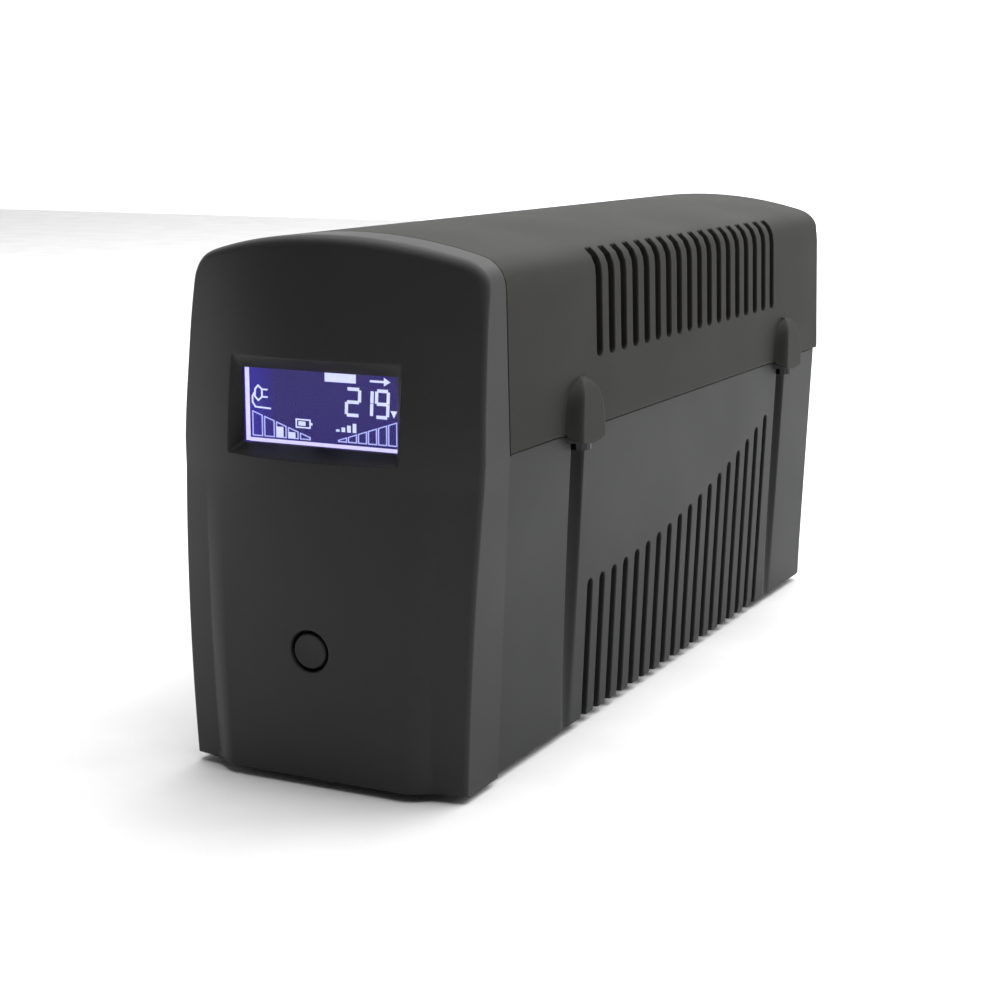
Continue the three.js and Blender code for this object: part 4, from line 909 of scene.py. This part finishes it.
def plateau_edge(z):
    return PLATEAU_EDGE + PLATEAU_FLARE * np.clip(z / FACE_CREST_Z, 0, 1)


def funnel(x, z):
    """0 on the face, 1 at the window's edge, and the share of the way down the sloping sides between them."""
    window_x = WINDOW[1].x
    sides = np.stack([
        (RECESS_HALF_WIDTH - np.abs(x)) / (RECESS_HALF_WIDTH - window_x),
        (z - RECESS_LOW_Z) / (WINDOW[0].z - RECESS_LOW_Z),
        (RECESS_TOP_Z - z) / (RECESS_TOP_Z - WINDOW[1].z),
    ])
    share = -RECESS_SOFT * np.log(np.exp(-sides / RECESS_SOFT).sum(0))
    rounded = 0.5 * (share + np.sqrt(share**2 + RECESS_START**2))
    return np.clip(rounded - RECESS_START / 2 * (share < 0), 0, 1)


def bezel_wrap(flat):
    x, z = flat[:, 0], flat[:, 1]
    y = face_y(x, z)
    inside = (np.abs(x) < RECESS_HALF_WIDTH + 1) & (z > RECESS_LOW_Z - 1) & (z < RECESS_TOP_Z + 1)
    down = np.where(inside, funnel(x, z), 0)
    return np.stack([x, y + down * (WINDOW_Y - y), z], 1)


class BezelRim:
    """The steps from the bezel's front edge, along its band to the shells, and back inside it."""

    def __init__(self, outline):
        self.outline = np.array(outline)

    def applies(self, point):
        return np.min(np.hypot(*(self.outline - point).T)) < 1e-4

    def __call__(self, flat, outer, out, under):
        def band(inset, y):
            points = outer - out * inset
            points[:, 1] = y
            return points

        rear = np.broadcast_to([0.0, 1.0, 0.0], outer.shape)
        soft = unit(out + rear)
        return [
            (band(0, BEZEL_REAR_Y - SEAM_EDGE), out),
            (band(SEAM_EDGE * 0.3, BEZEL_REAR_Y - SEAM_EDGE * 0.3), soft),
            (band(SEAM_EDGE, BEZEL_REAR_Y), rear),
            (band(WALL, BEZEL_REAR_Y), rear),
        ]


def front_bezel(material):
    half = roof_and_side(0.0)
    thin = [tuple(half[0])]
    for p in half[1:]:
        gap = math.hypot(p[0] - thin[-1][0], p[1] - thin[-1][1])
        if gap > (0.6 if p[0] > SEAM_HALF_WIDTH - 10 and p[1] > 125 else 2.5) or p[1] in (SEAM_Z, 0.0):
            thin.append(tuple(p))
    outline = thin + [(-x, z) for x, z in thin[:0:-1]]
    outline = spaced(outline, lambda u, v: 2.0)
    window_x = WINDOW[1].x
    window = spaced(box_shape(-window_x, window_x, WINDOW[0].z, WINDOW[1].z), lambda u, v: 0.7)
    turns = [2 * math.pi * i / 56 for i in range(56)]
    button = [(BUTTON_HOLE * math.cos(a), BUTTON_Z + BUTTON_HOLE * math.sin(a)) for a in turns]
    grid = [grid_points(np.arange(-44, 44.1, 2), np.arange(2, CROWN_Z, 2))]
    grid.append(grid_points(np.arange(-RECESS_HALF_WIDTH - 1.4, RECESS_HALF_WIDTH + 1.5, 0.4),
                            np.arange(RECESS_LOW_Z - 1.4, RECESS_TOP_Z + 1.5, 0.4)))
    heights = np.arange(3, FACE_CREST_Z + 12, 1.5)
    for off in (-6.5, -5, -3.5, -2.2, -1.2, -0.5, 0, 0.5, 1.2):
        edge_x = plateau_edge(heights) + off
        grid += [np.stack([edge_x, heights], 1), np.stack([-edge_x, heights], 1)]
    outline_array = np.array(outline)
    outward = loop_normals(outline_array) * np.sign(signed_area(outline_array))

    def edge(u, v):
        if abs(math.hypot(u, v - BUTTON_Z) - BUTTON_HOLE) < 0.1:
            return BUTTON_EDGE
        if abs(u) < window_x + 0.1 and WINDOW[0].z - 0.1 < v < WINDOW[1].z + 0.1:
            return WINDOW_EDGE
        rise = float(smooth_step((v - FACE_ROUND_LOW_Z) / FACE_ROUND_RISE))
        return SIDE_ROUND + (FACE_ROUND - SIDE_ROUND) * rise

    def thickness(flat):
        down = funnel(flat[:, 0], flat[:, 1])
        return WALL + (LIP - WALL) * down

    def inner(flat, under):
        """Draws the inner skin in from the outline, so that the band has a thickness too."""
        gap = flat[:, None, :] - outline_array[None, :, :]
        distance = np.hypot(gap[..., 0], gap[..., 1])
        nearest = distance.min(1)
        index = distance.argmin(1)
        shift = WALL * np.clip(1 - nearest / INNER_BLEND, 0, 1)
        under = under.copy()
        under[:, 0] -= outward[index, 0] * shift
        under[:, 2] -= outward[index, 1] * shift
        under[:, 1] += np.clip(1 - nearest / FACE_ROUND, 0, 1) * FACE_ROUND
        return under

    made = skin("bezel_shell", outline, [window, button], np.concatenate(grid), bezel_wrap, edge, thickness,
                material, drop_axis=(0.0, 1.0, 0.0), inner=inner, rim=BezelRim(outline))
    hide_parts("front_bezel")


# ---- Turned pieces ----
def turned(name, profile, centre, material, body, sides=64):
    """A piece turned about an axis along y. The profile is a list of (radius, y), closed on the axis."""
    points, faces = [], []
    for radius, y in profile:
        for i in range(sides):
            a = 2 * math.pi * i / sides
            points.append((centre[0] + radius * math.cos(a), y, centre[1] + radius * math.sin(a)))
    for row in range(len(profile) - 1):
        for i in range(sides):
            j = (i + 1) % sides
            a, b = row * sides, (row + 1) * sides
            faces.append((a + i, b + i, b + j, a + j))
    faces.append(tuple(range(sides)))
    faces.append(tuple(range((len(profile) - 1) * sides, len(profile) * sides))[::-1])
    made = piece(name, points, faces, material, body)
    sharpen(made)
    return made


def sharpen(made):
    made.data.set_sharp_from_angle(angle=SHARP_ANGLE)


def power_button(material):
    """The cap: a shallow dish inside a soft edge, with its flange and stem behind the bezel."""
    front, rear = low("button_cap").y, high("button_cap").y
    soft = BUTTON_EDGE
    edge = [(BUTTON_RADIUS - soft * (1 - math.cos(a)), front + soft * (1 - math.sin(a))) for a in ARC[::-1]]
    dish = [(0.02, front + 0.22), (1.5, front + 0.2), (3.0, front + 0.1),
            (BUTTON_RADIUS - soft - 0.2, front + 0.01)]
    flange = rear - BUTTON_FLANGE_BACK
    flange_rear = flange + BUTTON_FLANGE_THICKNESS
    back = [(BUTTON_RADIUS, flange), (BUTTON_FLANGE, flange), (BUTTON_FLANGE, flange_rear),
            (BUTTON_STEM, flange_rear), (BUTTON_STEM, rear), (0.02, rear)]
    made = turned("power_button_cap", [*dish, *edge, *back], (0, BUTTON_Z), material, "power_button")
    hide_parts("button_cap")


# ---- Display graphics ----
def plates(name, shapes, depth, material):
    """Thin upright plates from outlines in x and z, with their fronts at depth[0] and backs at depth[1]."""
    points, faces = [], []
    for shape in shapes:
        start, n = len(points), len(shape)
        points += [(x, depth[0], z) for x, z in shape] + [(x, depth[1], z) for x, z in shape]
        faces.append(tuple(start + i for i in range(n)))
        faces.append(tuple(start + n + i for i in reversed(range(n))))
        faces += [(a, a + n, b + n, b) for a, b in ring(start, n)]
    made = piece(name, points, faces, material)
    sharpen(made)
    return made


def box_shape(x0, x1, z0, z1):
    return [(x0, z0), (x1, z0), (x1, z1), (x0, z1)]


def stroke(points, width):
    """A polyline drawn with a given width, as a list of short quads."""
    out = []
    for (x0, z0), (x1, z1) in zip(points, points[1:]):
        length = math.hypot(x1 - x0, z1 - z0)
        sx, sz = -(z1 - z0) / length * width / 2, (x1 - x0) / length * width / 2
        ex, ez = (x1 - x0) / length * width * 0.3, (z1 - z0) / length * width * 0.3
        out.append([(x0 + sx - ex, z0 + sz - ez), (x0 - sx - ex, z0 - sz - ez),
                    (x1 - sx + ex, z1 - sz + ez), (x1 + sx + ex, z1 + sz + ez)])
    return out


SEGMENTS = {
    "a": ((0.12, 1), (0.88, 1)), "b": ((1, 0.93), (1, 0.55)), "c": ((1, 0.45), (1, 0.07)),
    "d": ((0.12, 0), (0.88, 0)), "e": ((0, 0.45), (0, 0.07)), "f": ((0, 0.93), (0, 0.55)),
    "g": ((0.12, 0.5), (0.88, 0.5)),
}
DIGITS = {"2": "abged", "1": "bc", "9": "abcdfg"}
DIGIT_LEAN = 0.05
DIGIT_TOP, DIGIT_FOOT = 0.21, 0.553  # as shares of the window from its top left, like the places below
THIN_LINE, LINE, THICK_LINE = 0.35, 0.42, 0.55
BAR_LINE, DIGIT_LINE = 0.3, 0.85
LAMP_LEFT, LAMP_FOOT = 0.75, 0.85  # widths of the lamps' lines
CHARGE_LEFT, CHARGE_PITCH = 0.035, 0.079


def digit(value, x, z, width, height, line):
    """The lit segments of a seven-segment digit."""
    out = []
    for key in DIGITS[value]:
        ends = [(x + width * u + height * v * DIGIT_LEAN, z + height * v) for u, v in SEGMENTS[key]]
        out += stroke(ends, line)
    return out


def across(share):
    return WINDOW[0].x + share * (WINDOW[1].x - WINDOW[0].x)


def down(share):
    return WINDOW[1].z - share * (WINDOW[1].z - WINDOW[0].z)


def drawn(shares, width):
    """A stroke through points given as shares of the window."""
    return stroke([(across(p), down(q)) for p, q in shares], width)


def block(left, right, foot, top):
    """A box given as shares of the window."""
    return box_shape(across(left), across(right), down(foot), down(top))


def wedge(left, right, left_top, right_top, foot, bars):
    """Outlined bars under a slope, as a list of strokes."""
    lines = []
    pitch = (right - left) / bars
    for i in range(bars):
        a, b = left + i * pitch, left + (i + 0.8) * pitch
        top_a, top_b = (left_top + (right_top - left_top) * (p - left) / (right - left) for p in (a, b))
        lines += drawn([(a, foot), (b, foot), (b, top_b), (a, top_a), (a, foot)], BAR_LINE)
    return lines


def display_graphics():
    """A number, a plug, a battery, a row of bars, an arrow and a mark, over the scales of charge and load."""
    front = low("lcd_glass").y - 0.2
    depth = (front, front + 0.15)
    shapes = []
    tall = down(DIGIT_TOP) - down(DIGIT_FOOT)
    for value, left, wide in (("2", 0.652, 0.082), ("1", 0.738, 0.075), ("9", 0.842, 0.073)):
        shapes += digit(value, across(left), down(DIGIT_FOOT), across(wide) - across(0), tall, DIGIT_LINE)
    shapes.append(block(0.517, 0.716, 0.135, 0.02))
    shapes += drawn([(0.135, 0.30), (0.10, 0.30), (0.075, 0.25), (0.055, 0.30),
                     (0.052, 0.40), (0.075, 0.45), (0.10, 0.40), (0.135, 0.40)], LINE)
    shapes += drawn([(0.10, 0.30), (0.10, 0.40)], LINE)
    shapes += drawn([(0.052, 0.34), (0.036, 0.40), (0.036, 0.48), (0.055, 0.54), (0.155, 0.55)], LINE)
    shapes += drawn([(0.325, 0.665), (0.415, 0.665), (0.415, 0.77), (0.325, 0.77), (0.325, 0.665)], THIN_LINE)
    shapes += [block(0.34, 0.385, 0.745, 0.69), block(0.42, 0.43, 0.735, 0.70)]
    for i in range(4):
        left = 0.585 + 0.036 * i
        shapes.append(block(left, left + 0.022, 0.785, 0.755 - 0.03 * i))
    shapes += drawn([(0.81, 0.09), (0.90, 0.09)], THICK_LINE)
    shapes.append([(across(0.895), down(0.145)), (across(0.935), down(0.09)), (across(0.895), down(0.035))])
    shapes.append([(across(0.975), down(0.46)), (across(0.955), down(0.55)), (across(0.935), down(0.46))])
    for i in (2, 3):
        left = CHARGE_LEFT + CHARGE_PITCH * i
        shapes.append(block(left, left + 0.045, 0.925, 0.665 + 0.06 * i))
    plates("display_segments", shapes, depth, lit_segment("segment_bright", (0.62, 0.66, 1.0), 1.0))
    scales = wedge(0.035, 0.43, 0.60, 0.91, 0.925, 5) + wedge(0.60, 0.985, 0.90, 0.60, 0.915, 6)
    plates("display_bars", scales, depth, lit_segment("segment_outline", (0.40, 0.42, 0.85), 1.0))
    x0, x1, z0, z1 = WINDOW[0].x, WINDOW[1].x, WINDOW[0].z, WINDOW[1].z
    lamps = [box_shape(x0 - 0.5, x0 + LAMP_LEFT, z0, z1),
             box_shape(x0 + LAMP_LEFT, x1, z0 - 0.1, z0 + LAMP_FOOT)]
    plates("display_lamp_lines", lamps, depth, lit_segment("lamp_line", (0.66, 0.62, 1.0), 1.1))


# ---- CAD nodes that stay ----
def soften(node, width, segments):
    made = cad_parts[node]
    bevel = made.modifiers.new("soft_edges", "BEVEL")
    bevel.width = width * MM
    bevel.segments = segments
    bevel.limit_method = "ANGLE"
    bevel.angle_limit = BEVEL_ANGLE
    bevel.harden_normals = False


def dress(nodes, material, width=0.0, segments=2):
    for node in nodes:
        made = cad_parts[node]
        made.data.materials.clear()
        made.data.materials.append(material)
        made.data.polygons.foreach_set("use_smooth", [True] * len(made.data.polygons))
        sharpen(made)
        if width:
            soften(node, width, segments)


def named(prefix):
    return sorted(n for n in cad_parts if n.startswith(prefix))


def finish_cad_nodes():
    black = plastic("black_plastic", (0.012, 0.012, 0.013), 0.42, grain=0.6)
    socket = plastic("socket_plastic", (0.010, 0.010, 0.011), 0.34, grain=0.4)
    tinned = metal("tinned_metal", (0.72, 0.72, 0.74), 0.28)
    steel = metal("zinc_steel", (0.50, 0.50, 0.52), 0.35, (1, 0.1, 1))
    dress(["rear_panel"], plastic("panel_plastic", (0.040, 0.041, 0.042), 0.55), 0.3)
    dress(named("outlet_upper") + named("outlet_lower") + ["inlet_body"], socket, 0.35, 3)
    dress(["line_jacks", "breaker_body", "switch_body", "switch_plunger"], black, 0.2)
    dress(["breaker_button"], black, 0.6, 3)
    dress(["buzzer"], black, 0.4)
    dress(named("inlet_pin") + ["usb_port"], tinned, 0.15)
    dress(named("battery_terminal"), tinned, 0.1)
    dress(named("outlet_busbar"), metal("brass_strip", (0.75, 0.55, 0.24), 0.3, (0.1, 1, 1)), 0.1)
    dress(named("strap_screw") + ["breaker_nut"], steel, 0.2)
    # the housing screws are near black as painted shade, so that the grooves under the pods read dark
    dress(named("housing_screw"), metal("screw_black_for_groove_shade", (0.05, 0.05, 0.052), 0.45), 0.2)
    dress(named("foot_"), plastic("foot_rubber", (0.014, 0.014, 0.014), 0.85), 0.3)
    dress(["display_window"], clear_acrylic())
    dress(["lcd_glass"], lit_glass())
    dress(["lcd_backlight"], plastic("diffuser", (0.75, 0.75, 0.8), 0.5), 0.2)
    dress(["display_board", "main_board", "interface_board"], circuit_board())
    dress(["display_ribbon"], plastic("ribbon", (0.32, 0.33, 0.34), 0.6), 0.1)
    dress(["battery_case"], plastic("battery_plastic", (0.02, 0.021, 0.023), 0.5), 1.2, 3)
    dress(["battery_lead_positive"], plastic("red_lead", (0.40, 0.012, 0.010), 0.45, grain=0.3))
    black_lead = plastic("black_lead", (0.010, 0.010, 0.010), 0.5, grain=0.3)
    dress(["battery_lead_negative", "mains_harness"], black_lead)
    # the tray and the transformer strap are near black as painted shade, so that the slots read dark inside
    slot_shade_black = plastic("tray_black_for_slot_shade", (0.020, 0.020, 0.021), 0.5, grain=0.5)
    dress(["board_tray", "transformer_strap"], slot_shade_black, 0.2)
    dress(named("heat_sink"), metal("aluminium", (0.60, 0.61, 0.62), 0.35, (1, 1, 0.1)), 0.15)
    dress(named("capacitor"), plastic("sleeve", (0.010, 0.010, 0.014), 0.3, grain=0.2), 0.6, 3)
    dress(named("relay"), plastic("relay_case", (0.010, 0.075, 0.26), 0.35, grain=0.2), 0.4)
    dress(["transformer_core"], metal("core_iron", (0.12, 0.12, 0.125), 0.5, (0.02, 1, 1)), 0.2)
    dress(["transformer_winding"], plastic("winding", (0.30, 0.20, 0.06), 0.55), 1.5, 3)


camera()
studio()
finish_cad_nodes()
top_cover(plastic("cover_plastic", (0.0106, 0.0105, 0.0090), 0.66, tint=(1.0, 0.99, 0.92)))
base_shell(plastic("base_plastic", (0.0185, 0.019, 0.0192), 0.56))
front_bezel(plastic("bezel_plastic", (0.0195, 0.0195, 0.0195), 0.5))
power_button(plastic("button_plastic", (0.018, 0.018, 0.018), 0.48))
display_graphics()
